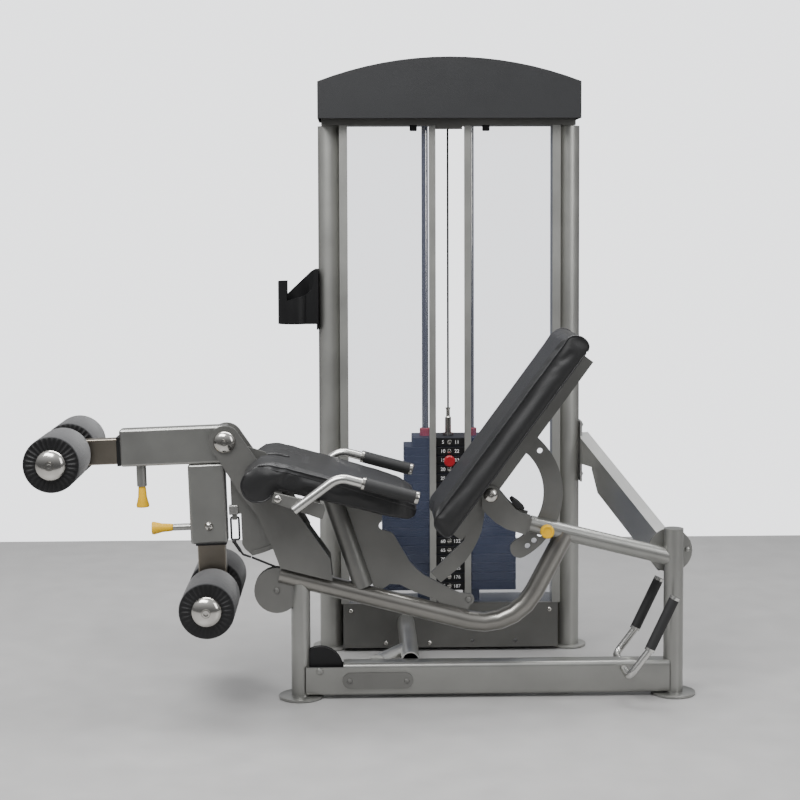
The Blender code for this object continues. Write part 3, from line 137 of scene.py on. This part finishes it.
def make_lights():
    """Three soft lamps and a surround: white to look at, and as a light bright only overhead."""
    world = bpy.data.worlds.new("studio")
    world.use_nodes = True
    nodes, links = world.node_tree.nodes, world.node_tree.links
    backdrop = nodes["Background"]
    backdrop.inputs["Color"].default_value = (0.90, 0.91, 0.93, 1)
    place = nodes.new("ShaderNodeTexCoord")
    height = nodes.new("ShaderNodeSeparateXYZ")
    links.new(place.outputs["Generated"], height.inputs["Vector"])
    ceiling = nodes.new("ShaderNodeMapRange")
    ceiling.interpolation_type = "SMOOTHSTEP"
    ceiling.inputs["From Min"].default_value = -0.1
    ceiling.inputs["From Max"].default_value = 0.8
    ceiling.inputs["To Min"].default_value = 0.16
    ceiling.inputs["To Max"].default_value = 0.85
    links.new(height.outputs["Z"], ceiling.inputs["Value"])
    seen = nodes.new("ShaderNodeLightPath")
    strength = nodes.new("ShaderNodeMapRange")
    strength.inputs["To Max"].default_value = 2.6
    links.new(ceiling.outputs["Result"], strength.inputs["To Min"])
    links.new(seen.outputs["Is Camera Ray"], strength.inputs["Value"])
    links.new(strength.outputs["Result"], backdrop.inputs["Strength"])
    bpy.context.scene.world = world
    area_light("key", (-1.6, -2.6, 3.8), (0, 0, 0.7), (3.0, 1.6), 210)
    area_light("fill", (3.0, -2.8, 2.2), (0.2, 0, 0.6), (1.2, 2.4), 50)
    area_light("overhead", (0.2, 0.3, 3.4), (0.2, 0, 0), (3.4, 1.2), 130)


# ---- Materials ---------------------------------------------------------------------------------


def surface(name, colour, rough, metallic=0.0, grain=(400, 0.05), vary=0.08, **sockets):
    """A Principled material whose colour, roughness and relief all vary a little with noise.

    grain is (scale, bump strength); vary is how far the colour strays either way.
    """
    made = bpy.data.materials.new(name)
    made.use_nodes = True
    nodes, links = made.node_tree.nodes, made.node_tree.links
    shader = nodes["Principled BSDF"]
    shader.inputs["Metallic"].default_value = metallic
    for socket, value in sockets.items():
        shader.inputs[socket.replace("_", " ")].default_value = value
    place = nodes.new("ShaderNodeTexCoord")
    broad = nodes.new("ShaderNodeTexNoise")
    broad.inputs["Scale"].default_value = 9
    broad.inputs["Detail"].default_value = 6
    links.new(place.outputs["Object"], broad.inputs["Vector"])
    tint = nodes.new("ShaderNodeValToRGB")
    tint.color_ramp.elements[0].position = 0.3
    tint.color_ramp.elements[1].position = 0.7
    tint.color_ramp.elements[0].color = (*[c * (1 - vary) for c in colour], 1)
    tint.color_ramp.elements[1].color = (*[min(1, c * (1 + vary)) for c in colour], 1)
    links.new(broad.outputs["Fac"], tint.inputs["Fac"])
    links.new(tint.outputs["Color"], shader.inputs["Base Color"])
    polish = nodes.new("ShaderNodeMapRange")
    polish.inputs["To Min"].default_value = rough * 0.85
    polish.inputs["To Max"].default_value = min(1, rough * 1.15)
    links.new(broad.outputs["Fac"], polish.inputs["Value"])
    links.new(polish.outputs["Result"], shader.inputs["Roughness"])
    fine = nodes.new("ShaderNodeTexNoise")
    fine.name = "grain"
    fine.inputs["Scale"].default_value = grain[0]
    fine.inputs["Detail"].default_value = 3
    links.new(place.outputs["Object"], fine.inputs["Vector"])
    bump = nodes.new("ShaderNodeBump")
    bump.inputs["Strength"].default_value = grain[1]
    bump.inputs["Distance"].default_value = 0.001
    links.new(fine.outputs["Fac"], bump.inputs["Height"])
    links.new(bump.outputs["Normal"], shader.inputs["Normal"])
    made.diffuse_color = (*colour, 1)
    return made


def leather_grain(material, cell=480, depth=0.25):
    """Swaps the material's grain for the small cells of embossed vinyl."""
    nodes, links = material.node_tree.nodes, material.node_tree.links
    cells = nodes.new("ShaderNodeTexVoronoi")
    cells.feature = "DISTANCE_TO_EDGE"
    cells.inputs["Scale"].default_value = cell
    links.new(nodes["Texture Coordinate"].outputs["Object"], cells.inputs["Vector"])
    links.new(cells.outputs["Distance"], nodes["Bump"].inputs["Height"])
    nodes["Bump"].inputs["Strength"].default_value = depth
    return material


def brushed(material, stretch):
    """Stretches the material's grain into fine parallel marks. stretch holds a scale per axis."""
    nodes, links = material.node_tree.nodes, material.node_tree.links
    mapping = nodes.new("ShaderNodeMapping")
    mapping.inputs["Scale"].default_value = stretch
    links.new(nodes["Texture Coordinate"].outputs["Object"], mapping.inputs["Vector"])
    links.new(mapping.outputs["Vector"], nodes["grain"].inputs["Vector"])
    return material


def see_through(material, alpha):
    material.node_tree.nodes["Principled BSDF"].inputs["Alpha"].default_value = alpha
    return material


SILVER = surface("silver_paint", (0.30, 0.30, 0.285), 0.34, 0.85, (800, 0.14), 0.08, Coat_Weight=0.35)
TOWER_SILVER = surface("tower_silver", (0.38, 0.38, 0.36), 0.42, 0.8, (800, 0.12), 0.07)
LIGHT_SILVER = surface("light_silver", (0.62, 0.62, 0.60), 0.3, 0.85, (900, 0.04), 0.05, Coat_Weight=0.4)
# The main tube's paint is the frame's silver made darker and warmer: painted shade from the seat above it and
# from the dark surroundings it reflects.
SHADED_TUBE_SILVER = surface("main_tube_silver_painted_shade", (0.23, 0.222, 0.205), 0.3, 0.85, (900, 0.05), 0.08, Coat_Weight=0.4)
DARK = surface("dark_powder_coat", (0.175, 0.174, 0.165), 0.40, 0.65, (1000, 0.16), 0.10)
SATIN = surface("satin_silver", (0.56, 0.555, 0.535), 0.25, 0.95, (700, 0.03), 0.05)
CHROME = surface("chrome_plate", (0.52, 0.505, 0.475), 0.16, 1.0, (500, 0.015), 0.04)
BAR_STEEL = brushed(surface("bar_steel", (0.27, 0.24, 0.20), 0.3, 0.95, (500, 0.06), 0.12), (1, 1, 0.05))
VINYL = leather_grain(surface("black_vinyl", (0.007, 0.007, 0.0075), 0.48, vary=0.12, Coat_Weight=0.06))
WELT = surface("black_welt", (0.012, 0.012, 0.013), 0.36, grain=(900, 0.1))
FOAM = surface("grey_foam", (0.036, 0.036, 0.038), 0.85, grain=(1400, 0.5), vary=0.12, Sheen_Weight=0.25)
BLACK = surface("black_moulding", (0.007, 0.007, 0.0075), 0.42, 0, (800, 0.12), 0.1, Specular_IOR_Level=0.3)
RUBBER = surface("black_rubber", (0.012, 0.012, 0.0125), 0.62, grain=(1000, 0.3), vary=0.1)
CAP = surface("grained_cap", (0.012, 0.0125, 0.014), 0.55, grain=(420, 0.5), vary=0.1)
PANEL = see_through(surface("clear_panel", (0.16, 0.19, 0.30), 0.08, grain=(30, 0.01), vary=0.02), 0.14)
NAVY = surface("navy_paint", (0.005, 0.0065, 0.014), 0.50, 0, (900, 0.12), 0.12, Specular_IOR_Level=0.3)
YELLOW = surface("yellow_moulding", (0.74, 0.43, 0.001), 0.50, grain=(600, 0.06), vary=0.06)
RED = surface("red_moulding", (0.30, 0.006, 0.012), 0.35, grain=(600, 0.06), vary=0.06, Coat_Weight=0.15)
INK = surface("white_ink", (0.75, 0.75, 0.75), 0.5, grain=(900, 0.02), vary=0.03)
CABLE = surface("cable_jacket", (0.016, 0.016, 0.017), 0.4, grain=(1500, 0.2), vary=0.05)


# ---- Shapes ------------------------------------------------------------------------------------


def piece(name, bm, material, body, *nodes, place=None, bevel=0.0, split=38):
    """A finished mesh piece that rides on a body, if one is given, and may stand for CAD nodes."""
    bmesh.ops.recalc_face_normals(bm, faces=bm.faces)
    if place is not None:
        bmesh.ops.transform(bm, matrix=place, verts=bm.verts)
    mesh = bpy.data.meshes.new(name)
    bm.to_mesh(mesh)
    bm.free()
    mesh.materials.append(material)
    mesh.shade_smooth()
    mesh.set_sharp_from_angle(angle=radians(split))
    obj = bpy.data.objects.new(name, mesh)
    bpy.context.scene.collection.objects.link(obj)
    if bevel:
        soften(obj, bevel)
    if body:
        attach(obj, body)
    if nodes:
        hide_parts(*nodes)
    return obj


def soften(obj, width, angle=32):
    bevel = obj.modifiers.new("Edges", "BEVEL")
    bevel.width = width
    bevel.segments = 3
    bevel.limit_method = "ANGLE"
    bevel.angle_limit = radians(angle)
    bevel.harden_normals = True


def side_frame(direction):
    helper = Vector((0, 1, 0)) if abs(direction.y) < 0.9 else Vector((1, 0, 0))
    side = helper.cross(direction).normalized()
    return side, direction.cross(side)


def skin(bm, rings):
    """Faces between rings of new points, with both ends closed."""
    rows = [[bm.verts.new(point) for point in ring] for ring in rings]
    for low, high in zip(rows, rows[1:]):
        for i in range(len(low)):
            j = (i + 1) % len(low)
            bm.faces.new((low[i], low[j], high[j], high[i]))
    bm.faces.new(rows[0])
    bm.faces.new(rows[-1])


def turned(bm, start, direction, profile, sides=48, wave=None):
    """A lathe shape: profile holds (distance along, radius). wave(angle, step) shifts a point along."""
    start, direction = Vector(start), Vector(direction).normalized()
    side, up = side_frame(direction)
    rings = []
    for step, (along, radius) in enumerate(profile):
        ring = []
        for i in range(sides):
            a = 2 * pi * i / sides
            shift = wave(a, step) if wave else 0.0
            ring.append(start + (along + shift) * direction + radius * (cos(a) * side + sin(a) * up))
        rings.append(ring)
    skin(bm, rings)


def rounded(points, radius, count=10):
    """A path through corner points with an arc at each inner corner."""
    points = [Vector(p) for p in points]
    path = [points[0]]
    for before, corner, after in zip(points, points[1:], points[2:]):
        into, out = (corner - before).normalized(), (after - corner).normalized()
        turn = into.angle(out)
        reach = radius * tan(turn / 2)
        centre = corner - reach * into + radius * (out - into * cos(turn)).normalized()
        start = corner - reach * into - centre
        for i in range(count + 1):
            a = turn * i / count
            path.append(centre + start * cos(a) + into * radius * sin(a))
    return path + [points[-1]]


def swept(bm, path, radius, sides=24):
    """A round bar along a path, its section carried along without twist."""
    path = [Vector(p) for p in path]
    side, _ = side_frame((path[1] - path[0]).normalized())
    rings = []
    for i, point in enumerate(path):
        tangent = (path[min(i + 1, len(path) - 1)] - path[max(i - 1, 0)]).normalized()
        side = (side - tangent * side.dot(tangent)).normalized()
        up = tangent.cross(side)
        angles = [2 * pi * k / sides for k in range(sides)]
        rings.append([point + radius * (cos(a) * side + sin(a) * up) for a in angles])
    skin(bm, rings)


def box(bm, low, high):
    corners = [(low[0], low[1]), (high[0], low[1]), (high[0], high[1]), (low[0], high[1])]
    skin(bm, [[Vector((x, y, z)) for x, y in corners] for z in (low[2], high[2])])


def slab(bm, outline, low, high):
    """A flat shape across Y from an X, Z outline."""
    skin(bm, [[Vector((x, y, z)) for x, z in outline] for y in (low, high)])


def domed_cap(radius, height):
    """Profile of a chromed cap: rounded shoulder, then a ring round a socket screw."""
    r, h = radius, height
    return [
        (0, 0.97 * r), (0.06 * h, r), (0.16 * h, r), (0.30 * h, 0.965 * r), (0.50 * h, 0.88 * r),
        (0.70 * h, 0.72 * r), (0.84 * h, 0.52 * r), (0.92 * h, 0.34 * r), (0.93 * h, 0.30 * r),
        (0.88 * h, 0.28 * r), (0.88 * h, 0.25 * r), (0.98 * h, 0.24 * r), (1.00 * h, 0.18 * r),
        (0.97 * h, 0.12 * r), (0.85 * h, 0.11 * r), (0.85 * h, 0.01 * r),
    ]


# ---- CAD nodes that keep their shape -------------------------------------------------------------


def dress(names, material, bevel=0.0, split=34):
    """Gives CAD nodes a material and smooth shading between their sharp edges."""
    for name in names.split():
        node = frame["nodes"][name]
        node.data.materials.clear()
        node.data.materials.append(material)
        normals = node.data.attributes.get("custom_normal")
        if normals:
            node.data.attributes.remove(normals)
        node.data.shade_smooth()
        weld = node.modifiers.new("Weld", "WELD")
        weld.merge_threshold = 2e-5
        if bevel:
            soften(node, bevel)
        edges = node.modifiers.new("Sharp edges", "EDGE_SPLIT")
        edges.split_angle = radians(split)


def dress_nodes():
    dress("front_post rear_post base_tube rear_tube", SILVER)
    dress("cross_tube", LIGHT_SILVER)
    # The main tube takes the darker silver with its painted shade.
    dress("main_tube", SHADED_TUBE_SILVER)
    dress("tower_upright_left tower_upright_right", TOWER_SILVER)
    dress("slot_trim_left slot_trim_right", TOWER_SILVER, 0.0015)
    dress("rear_brace", LIGHT_SILVER)
    dress("seat_post seat_gusset back_brace back_fork cam_plate", DARK)
    dress("knee_plate_near knee_plate_far back_frame pulley_guard base_cover_plate", DARK)
    dress("top_beam base_panel", DARK)
    dress("rear_handle_bar", SATIN)
    dress("selector_stem guide_rod_left guide_rod_right", CHROME)
    dress("rear_grip_near rear_grip_far seat_grip_near seat_grip_far stack_cushion", RUBBER)
    dress("front_pulley base_pulley top_pulley cup_holder", BLACK)
    dress("top_cap", CAP, 0.006)
    dress("guard_panel_left guard_panel_right", PANEL, 0.0008)
    dress("upper_pull_pin lower_pull_pin back_pull_pin", YELLOW)
    dress("selector_pin", RED)
    dress("lift_cable cable_link", CABLE)


# ---- Movement arm ------------------------------------------------------------------------------


def arm_piece(name, build, material, body, *nodes, bevel=0.0):
    bm = bmesh.new()
    build(bm)
    return piece(name, bm, material, body, *nodes, place=ARM, bevel=bevel)


def build_arm():
    def boxes(bm):
        box(bm, (-0.289, -0.025, -0.060), (0.010, 0.025, 0.043))

    def lower(bm):
        box(bm, (-0.106, -0.025, -0.282), (-0.004, 0.025, -0.061))

    def hub(bm):
        rim = 0.0015
        profile = [(0, 0.036 - rim), (rim, 0.036), (0.067 - rim, 0.036), (0.067, 0.036 - rim)]
        turned(bm, (0, -0.0335, 0), (0, 1, 0), profile)
        turned(bm, (-0.235, 0, -0.118), (0, 0, 1), [(0, 0.0125), (0.001, 0.0135), (0.063, 0.0135)])
        turned(bm, (-0.155, 0, -0.236), (1, 0, 0), [(0, 0.0085), (0.001, 0.0095), (0.055, 0.0095)])

    def collars(bm):
        box(bm, (-0.2975, -0.0235, -0.0575), (-0.287, 0.0235, 0.0235))
        box(bm, (-0.0925, -0.0235, -0.2865), (-0.0075, 0.0235, -0.279))

    def bolt(bm):
        turned(bm, (-0.054, -0.0248, -0.233), (0, -1, 0), domed_cap(0.012, 0.010), 32)

    arm_piece("arm_upper_box", boxes, SILVER, "arm", "movement_arm", bevel=0.0075)
    arm_piece("arm_lower_box", lower, SILVER, "arm", bevel=0.0075)
    arm_piece("arm_hub", hub, SILVER, "arm")
    arm_piece("arm_collars", collars, BLACK, "arm", bevel=0.002)
    arm_piece("arm_bolt", bolt, CHROME, "arm")

    def clevis(bm):
        box(bm, (0.0010, -0.0095, -0.2060), (0.0265, 0.0095, -0.1810))

    arm_piece("cable_clevis", clevis, SATIN, "arm", bevel=0.002)


def build_slider(name, low, high, axis_point, body):
    x, z = axis_point

    def bar(bm):
        box(bm, low, high)

    def spindle(bm):
        turned(bm, (x, -0.2405, z), (0, 1, 0), [(0, 0.0125), (0.481, 0.0125)])
        for side in (-1, 1):
            turned(bm, (x, side * 0.015, z), (0, side, 0), [(0, 0.021), (0.0225, 0.021), (0.0245, 0.019)])

    def caps(bm):
        for side in (-1, 1):
            turned(bm, (x, side * 0.2404, z), (0, side, 0), domed_cap(0.041, 0.022))

    arm_piece(name + "_bar", bar, BAR_STEEL, body, name + "_slider", bevel=0.003)
    arm_piece(name + "_spindle", spindle, SATIN, body)
    arm_piece(name + "_caps", caps, CHROME, body)


def build_roller(name, axis_point, side, body):
    """A foam sleeve between two fluted end rings."""
    x, z = axis_point
    flutes = 30

    def foam(bm):
        profile = [(0.0455, 0.040), (0.0455, 0.0715), (0.0462, 0.0732), (0.0480, 0.0743)]
        profile += [(0.232, 0.0743), (0.2338, 0.0732), (0.2345, 0.0715), (0.2345, 0.040)]
        turned(bm, (x, 0, z), (0, side, 0), profile, 64)

    def rings(bm):
        for start, direction in ((0.2335, side), (0.0465, -side)):
            depth = [0, 0, 0.0010, 0.0022, 0.0022, 0.0010, 0]
            profile = [(0, 0.0715), (0.0025, 0.0718), (0.0040, 0.0690), (0.0055, 0.0620)]
            profile += [(0.0062, 0.0500), (0.0065, 0.0420), (0.0065, 0.0330)]

            def groove(angle, step):
                return -depth[step] * (0.5 + 0.5 * cos(flutes * angle)) ** 0.5

            turned(bm, (x, side * start, z), (0, direction, 0), profile, flutes * 8, groove)

    arm_piece(name + "_foam", foam, FOAM, body, name)
    arm_piece(name + "_ends", rings, BLACK, body)


def build_rollers():
    bars = (
        ("upper", (-0.462, -0.020, -0.052), (-0.190, 0.020, 0.018), (-0.438, -0.0155)),
        ("lower", (-0.088, -0.020, -0.443), (-0.012, 0.020, -0.160), (-0.050, -0.4195)),
    )
    for name, low, high, axis_point in bars:
        build_slider(name, low, high, axis_point, name + "_bar")
        build_roller(name + "_roller_near", axis_point, -1, name + "_roller_a")
        build_roller(name + "_roller_far", axis_point, 1, name + "_roller_b")


def build_axles():
    for name, centre, reach, radius, height in (
        ("knee_axle", KNEE, 0.0444, 0.030, 0.016),
        ("back_axle", BACK, 0.0349, 0.0205, 0.013),
    ):
        bm = bmesh.new()
        for side in (-1, 1):
            start = centre + Vector((0, side * reach, 0))
            turned(bm, start, (0, side, 0), domed_cap(radius, height))
        piece(name + "_caps", bm, CHROME, "frame", name)


# ---- Drive cable -------------------------------------------------------------------------------


def arc(centre, radius, start, end, steps):
    angles = [start + (end - start) * i / steps for i in range(steps + 1)]
    return [(centre[0] + radius * cos(a), centre[1] + radius * sin(a)) for a in angles]


def build_drive_cable():
    """From the arm over the front pulley and into the floor tube."""
    radius, ferrule_r, tube_end, ferrule_start = 0.003, 0.0045, -0.050, -0.080
    front, front_turn = (-0.257, 0.303), 0.0569
    low_turn = 0.0609
    low = (front[0] + front_turn + low_turn, 0.079)
    floor_run = low[1] - low_turn
    hung = ARM @ Vector((0.0580, 0, -0.3288))
    across, up = hung.x - front[0], hung.z - front[1]
    leave = atan2(up, across) - acos(front_turn / hypot(across, up))
    over = arc(front, front_turn, leave, 0, 24)
    steps = 60
    stretch = [
        (hung.x + (over[0][0] - hung.x) * i / steps, hung.z + (over[0][1] - hung.z) * i / steps)
        for i in range(steps)
    ]
    under = arc(low, low_turn, pi, 1.5 * pi, 20) + [(tube_end, floor_run)]
    ferrule = [(0, ferrule_r), (tube_end - ferrule_start, ferrule_r)]
    bm = bmesh.new()
    swept(bm, [Vector((x, BENCH, z)) for x, z in stretch + over + under], radius, 12)
    turned(bm, (ferrule_start, BENCH, floor_run), (1, 0, 0), ferrule, 16)
    cable = piece("drive_cable_run", bm, CABLE, None, "drive_cable")
    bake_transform(cable)


# ---- Pads --------------------------------------------------------------------------------------


def stuffed(name, node, still, cap=0.006, voxel=0.005, shrink=0.003):
    """A padded copy of a CAD solid: blown up a little by a cloth run between held-down seams.

    still(point) says which points the run may not move.
    """
    graph = bpy.context.evaluated_depsgraph_get()
    mesh = bpy.data.meshes.new_from_object(frame["nodes"][node].evaluated_get(graph))
    mesh.materials.clear()
    mesh.materials.append(VINYL)
    pad = bpy.data.objects.new(name, mesh)
    bpy.context.scene.collection.objects.link(pad)
    remesh = pad.modifiers.new("Remesh", "REMESH")
    remesh.mode = "VOXEL"
    remesh.voxel_size = voxel
    pad.data = bpy.data.meshes.new_from_object(pad.evaluated_get(bpy.context.evaluated_depsgraph_get()))
    pad.modifiers.clear()
    start = np.array([v.co for v in pad.data.vertices])
    start -= shrink * np.array([v.normal for v in pad.data.vertices])
    pad.data.vertices.foreach_set("co", start.astype(np.float32).ravel())
    end = inflate(pad, [still(Vector(p)) for p in start])
    move = end - start
    length = np.linalg.norm(move, axis=1, keepdims=True)
    end = start + move * np.minimum(1, cap / np.maximum(length, 1e-9))
    pad.data.vertices.foreach_set("co", end.astype(np.float32).ravel())
    pad.data.shade_smooth()
    smooth = pad.modifiers.new("Smooth", "SMOOTH")
    smooth.factor = 0.5
    smooth.iterations = 6
    rounder = pad.modifiers.new("Subdivision", "SUBSURF")
    rounder.levels = rounder.render_levels = 1
    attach(pad, frame["nodes"][node]["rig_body"])
    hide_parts(node)
    return pad


def inflate(pad, held):
    """Where each point ends after twenty frames of air pressure."""
    frames, pressure = 20, 4
    pins = pad.vertex_groups.new(name="held")
    pins.add([i for i, hold in enumerate(held) if hold], 1.0, "REPLACE")
    cloth = pad.modifiers.new("Cloth", "CLOTH")
    cloth.settings.use_pressure = True
    cloth.settings.uniform_pressure_force = pressure
    cloth.settings.effector_weights.gravity = 0
    cloth.settings.vertex_group_mass = "held"
    cloth.point_cache.frame_start, cloth.point_cache.frame_end = 1, frames
    for number in range(1, frames + 1):
        bpy.context.scene.frame_set(number)
    mesh = pad.evaluated_get(bpy.context.evaluated_depsgraph_get()).to_mesh()
    end = np.array([v.co for v in mesh.vertices])
    pad.modifiers.clear()
    pad.vertex_groups.clear()
    bpy.context.scene.frame_set(1)
    return end


def welt(name, points, host, radius=0.0022, proud=0.0008):
    """A sewn cord laid on a pad's surface along the nearest points to a rough path."""
    graph = bpy.context.evaluated_depsgraph_get()
    tree = BVHTree.FromObject(host, graph)
    laid = []
    for a, b in zip(points, points[1:]):
        a, b = Vector(a), Vector(b)
        count = max(1, round((b - a).length / 0.006))
        for i in range(count):
            spot, normal, _, _ = tree.find_nearest(a.lerp(b, i / count))
            laid.append(spot + proud * normal)
    even = [laid[0]]
    for before, here, after in zip(laid, laid[1:], laid[2:]):
        even.append((before + 2 * here + after) / 4)
    bm = bmesh.new()
    swept(bm, even + [laid[-1]], radius, 10)
    return piece(name, bm, WELT, host["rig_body"])


def build_seat():
    half, corner, rear, side_depth = 0.210, 0.080, 0.134, 0.014
    roll, roll_r = (-0.298, 0.624), 0.047
    top = [(-0.300, 0.6830), (-0.262, 0.6850), (-0.210, 0.6740), (-0.100, 0.6430), (0.020, 0.6070)]
    top += [(0.095, 0.5820), (0.126, 0.5650)]

    def near_plates(point):
        return abs(point.y - BENCH) < 0.060 and point.x < -0.180

    pad = stuffed("seat_cushion", "seat_pad", near_plates)
    for side, label in ((-1, "near"), (1, "far")):
        edge = [(x, BENCH + side * half, z) for x, z in top if x < rear - corner]
        for angle in (90, 60, 30, 0):
            a = radians(angle)
            x, y = rear - corner + corner * cos(a), half - corner + corner * sin(a)
            z = np.interp(x, [p[0] for p in top], [p[1] for p in top])
            edge.append((x, BENCH + side * y, z))
        edge.append((rear, BENCH, top[-1][1]))
        welt("seat_welt_" + label, edge, pad)
        lower = [(x, y, z - side_depth) for x, y, z in edge[1:]]
        welt("seat_seam_" + label, lower, pad, 0.0016, 0.0002)
        ends = [radians(a) for a in range(-30, -236, -10)]
        rim = [(roll[0] + roll_r * cos(a), roll[1] + roll_r * sin(a)) for a in ends]
        disc = [(x, BENCH + side * half, z) for x, z in rim]
        welt("seat_roll_welt_" + label, disc, pad)


def back_outline(inset):
    """The backrest's outline from its side, along and across its rail."""
    low_u, high_u, low_v, high_v = -0.158 + inset, 0.502 - inset, 0.0355 + inset, 0.107 - inset
    corners = (
        (high_u, low_v, 0.028, 1.5 * pi),
        (high_u, high_v, 0.035, 0),
        (low_u, high_v, 0.030, pi / 2),
        (low_u, low_v, 0.015, pi),
    )
    points = []
    for u, v, radius, start in corners:
        cu, cv = (u - radius if u > 0 else u + radius), (v - radius if v == high_v else v + radius)
        angles = [start + pi / 2 * i / 6 for i in range(7)]
        points += [(cu + radius * cos(a), cv + radius * sin(a)) for a in angles]
    return points + points[:1]


def build_backrest():
    half = 0.150

    def rail_side(point):
        local = RAKED.inverted() @ point
        return local.z < 0.042

    pad = stuffed("back_cushion", "back_pad", rail_side)
    for side, label in ((-1, "near"), (1, "far")):
        edge = [RAKED @ Vector((u, side * half, v)) for u, v in back_outline(0.0)]
        welt("back_welt_" + label, edge, pad)


# ---- Seat handles ------------------------------------------------------------------------------


def build_seat_handles():
    handle_y, radius, bracket_y, grip_length = 0.245, 0.0125, (0.222, 0.236), 0.154
    tubes, caps, plates, bolts = bmesh.new(), bmesh.new(), bmesh.new(), bmesh.new()
    crossbar = [(-0.160, 0.562), (-0.136, 0.556), (-0.136, 0.582), (-0.160, 0.588)]
    slab(plates, crossbar, BENCH - 0.235, BENCH + 0.235)
    for side in (-1, 1):
        corners = ((-0.200, 0.5666), (-0.082, 0.6535), (0.126, 0.5965))
        path = rounded([(x, BENCH + side * handle_y, z) for x, z in corners], 0.055)
        swept(tubes, path, radius, 28)
        down = (path[-1] - path[-2]).normalized()
        end = [(-0.009, 0.0175), (-0.002, 0.0175), (0.0005, 0.0165), (0.002, 0.0135), (0.0028, 0.002)]
        turned(caps, path[-1], down, end, 32)
        ring = [(0, 0.0160), (0.001, 0.0175), (0.008, 0.0175)]
        turned(caps, path[-1] - grip_length * down, down, ring, 32)
        low, high = sorted(BENCH + side * y for y in bracket_y)
        bracket = [(-0.259, 0.587), (-0.252, 0.612), (-0.122, 0.580), (-0.118, 0.566), (-0.126, 0.540)]
        slab(plates, bracket, low, high)
        head = (-0.243, BENCH + side * 0.2355, 0.595)
        turned(bolts, head, (0, side, 0), domed_cap(0.010, 0.006), 28)
    piece("seat_handle_tubes", tubes, SATIN, "frame", "seat_handle_frame")
    piece("seat_handle_caps", caps, CHROME, "frame")
    piece("seat_brackets", plates, DARK, "frame", bevel=0.001)
    piece("seat_bracket_bolts", bolts, CHROME, "frame")


# ---- Weight stack ------------------------------------------------------------------------------


def plate_top(row):
    return STACK_TOP - row * PLATE_PITCH


def build_plates(name, rows, body, node):
    """Plates with their label strips and pin holes, one row each."""
    gap, margin, label_x = 0.0004, 0.0020, (0.206, 0.295)
    front, back = STACK_Y
    face = front - 0.0010
    plates, strip, holes = bmesh.new(), bmesh.new(), bmesh.new()
    for row in rows:
        half, top = PLATE_HALVES[row], plate_top(row)
        low = top - PLATE_PITCH
        box(plates, (STACK_X - half, front, low + gap), (STACK_X + half, back, top - gap))
        box(strip, (label_x[0], face, low + margin), (label_x[1], front + 0.001, top - margin))
        middle = (low + top) / 2
        rim = [(0, 0.0062), (0.0002, 0.0066), (0.002, 0.0066)]
        turned(holes, (STACK_X, face - 0.0006, middle), (0, 1, 0), rim, 20)
    piece(name, plates, NAVY, body, node, bevel=0.0022)
    piece(name + "_labels", strip, BLACK, body, bevel=0.0004)
    piece(name + "_holes", holes, CHROME, body)


def numerals(name, rows, column, values, body):
    """A column of plain numbers, one per plate."""
    size, thickness, below_middle = 0.0150, 0.0001, 0.0052
    data = bpy.data.curves.new(name, "FONT")
    data.body = "\n".join(str(values(row)) for row in rows)
    data.size = size
    data.align_x = "CENTER"
    data.space_line = PLATE_PITCH / size
    data.extrude = thickness
    data.materials.append(INK)
    text = bpy.data.objects.new(name, data)
    bpy.context.scene.collection.objects.link(text)
    first = plate_top(rows[0]) - PLATE_PITCH / 2
    text.location = (column, STACK_Y[0] - 0.0013, first - below_middle)
    text.rotation_euler = (pi / 2, 0, 0)
    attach(text, body)


def build_stack():
    total = len(PLATE_HALVES)
    for name, rows, body, node in (
        ("raised_plates", range(0, LIFTED), "moving_stack", "lifted_plates"),
        ("resting_plates", range(LIFTED, total), "frame", "weight_stack"),
    ):
        build_plates(name, rows, body, node)
        numerals(name + "_kg", rows, 0.2285, lambda row: 5 * (row + 1), body)
        numerals(name + "_lb", rows, 0.2710, lambda row: 11 * (row + 1), body)
    collars = bmesh.new()
    for side in (-1, 1):
        start = (STACK_X + side * 0.0705, TOWER + 0.010, STACK_TOP - 0.002)
        profile = [(0, 0.0175), (0.022, 0.0175), (0.0245, 0.0155), (0.0250, 0.0118)]
        turned(collars, start, (0, 0, 1), profile, 32)
    piece("rod_collars", collars, RED, "moving_stack")


# ---- Small fittings ----------------------------------------------------------------------------


def build_fittings():
    bolts = bmesh.new()
    for x, z in ((0.052, 0.025), (0.186, 0.024), (-0.055, 0.125), (0.555, 0.125)):
        turned(bolts, (x, TOWER - 0.0600, z), (0, -1, 0), domed_cap(0.0075, 0.006), 24)
    piece("panel_bolts", bolts, CHROME, "frame")
    lugs = bmesh.new()
    for x in (0.140, 0.360):
        box(lugs, (x - 0.011, TOWER - 0.064, 1.590), (x + 0.011, TOWER - 0.050, 1.609))
    piece("beam_lugs", lugs, BLACK, "frame", bevel=0.003)
    bumper = bmesh.new()
    outline = [(0.388, 0.549), (0.401, 0.532), (0.424, 0.521), (0.428, 0.530), (0.412, 0.545), (0.396, 0.556)]
    slab(bumper, outline, BENCH - 0.026, BENCH + 0.026)
    piece("fork_bumper", bumper, RUBBER, "frame", bevel=0.002)


# ---- Assembly ----------------------------------------------------------------------------------


make_camera()
make_floor()
make_lights()
dress_nodes()
build_arm()
build_rollers()
build_axles()
build_drive_cable()
build_seat()
build_backrest()
build_seat_handles()
build_stack()
build_fittings()
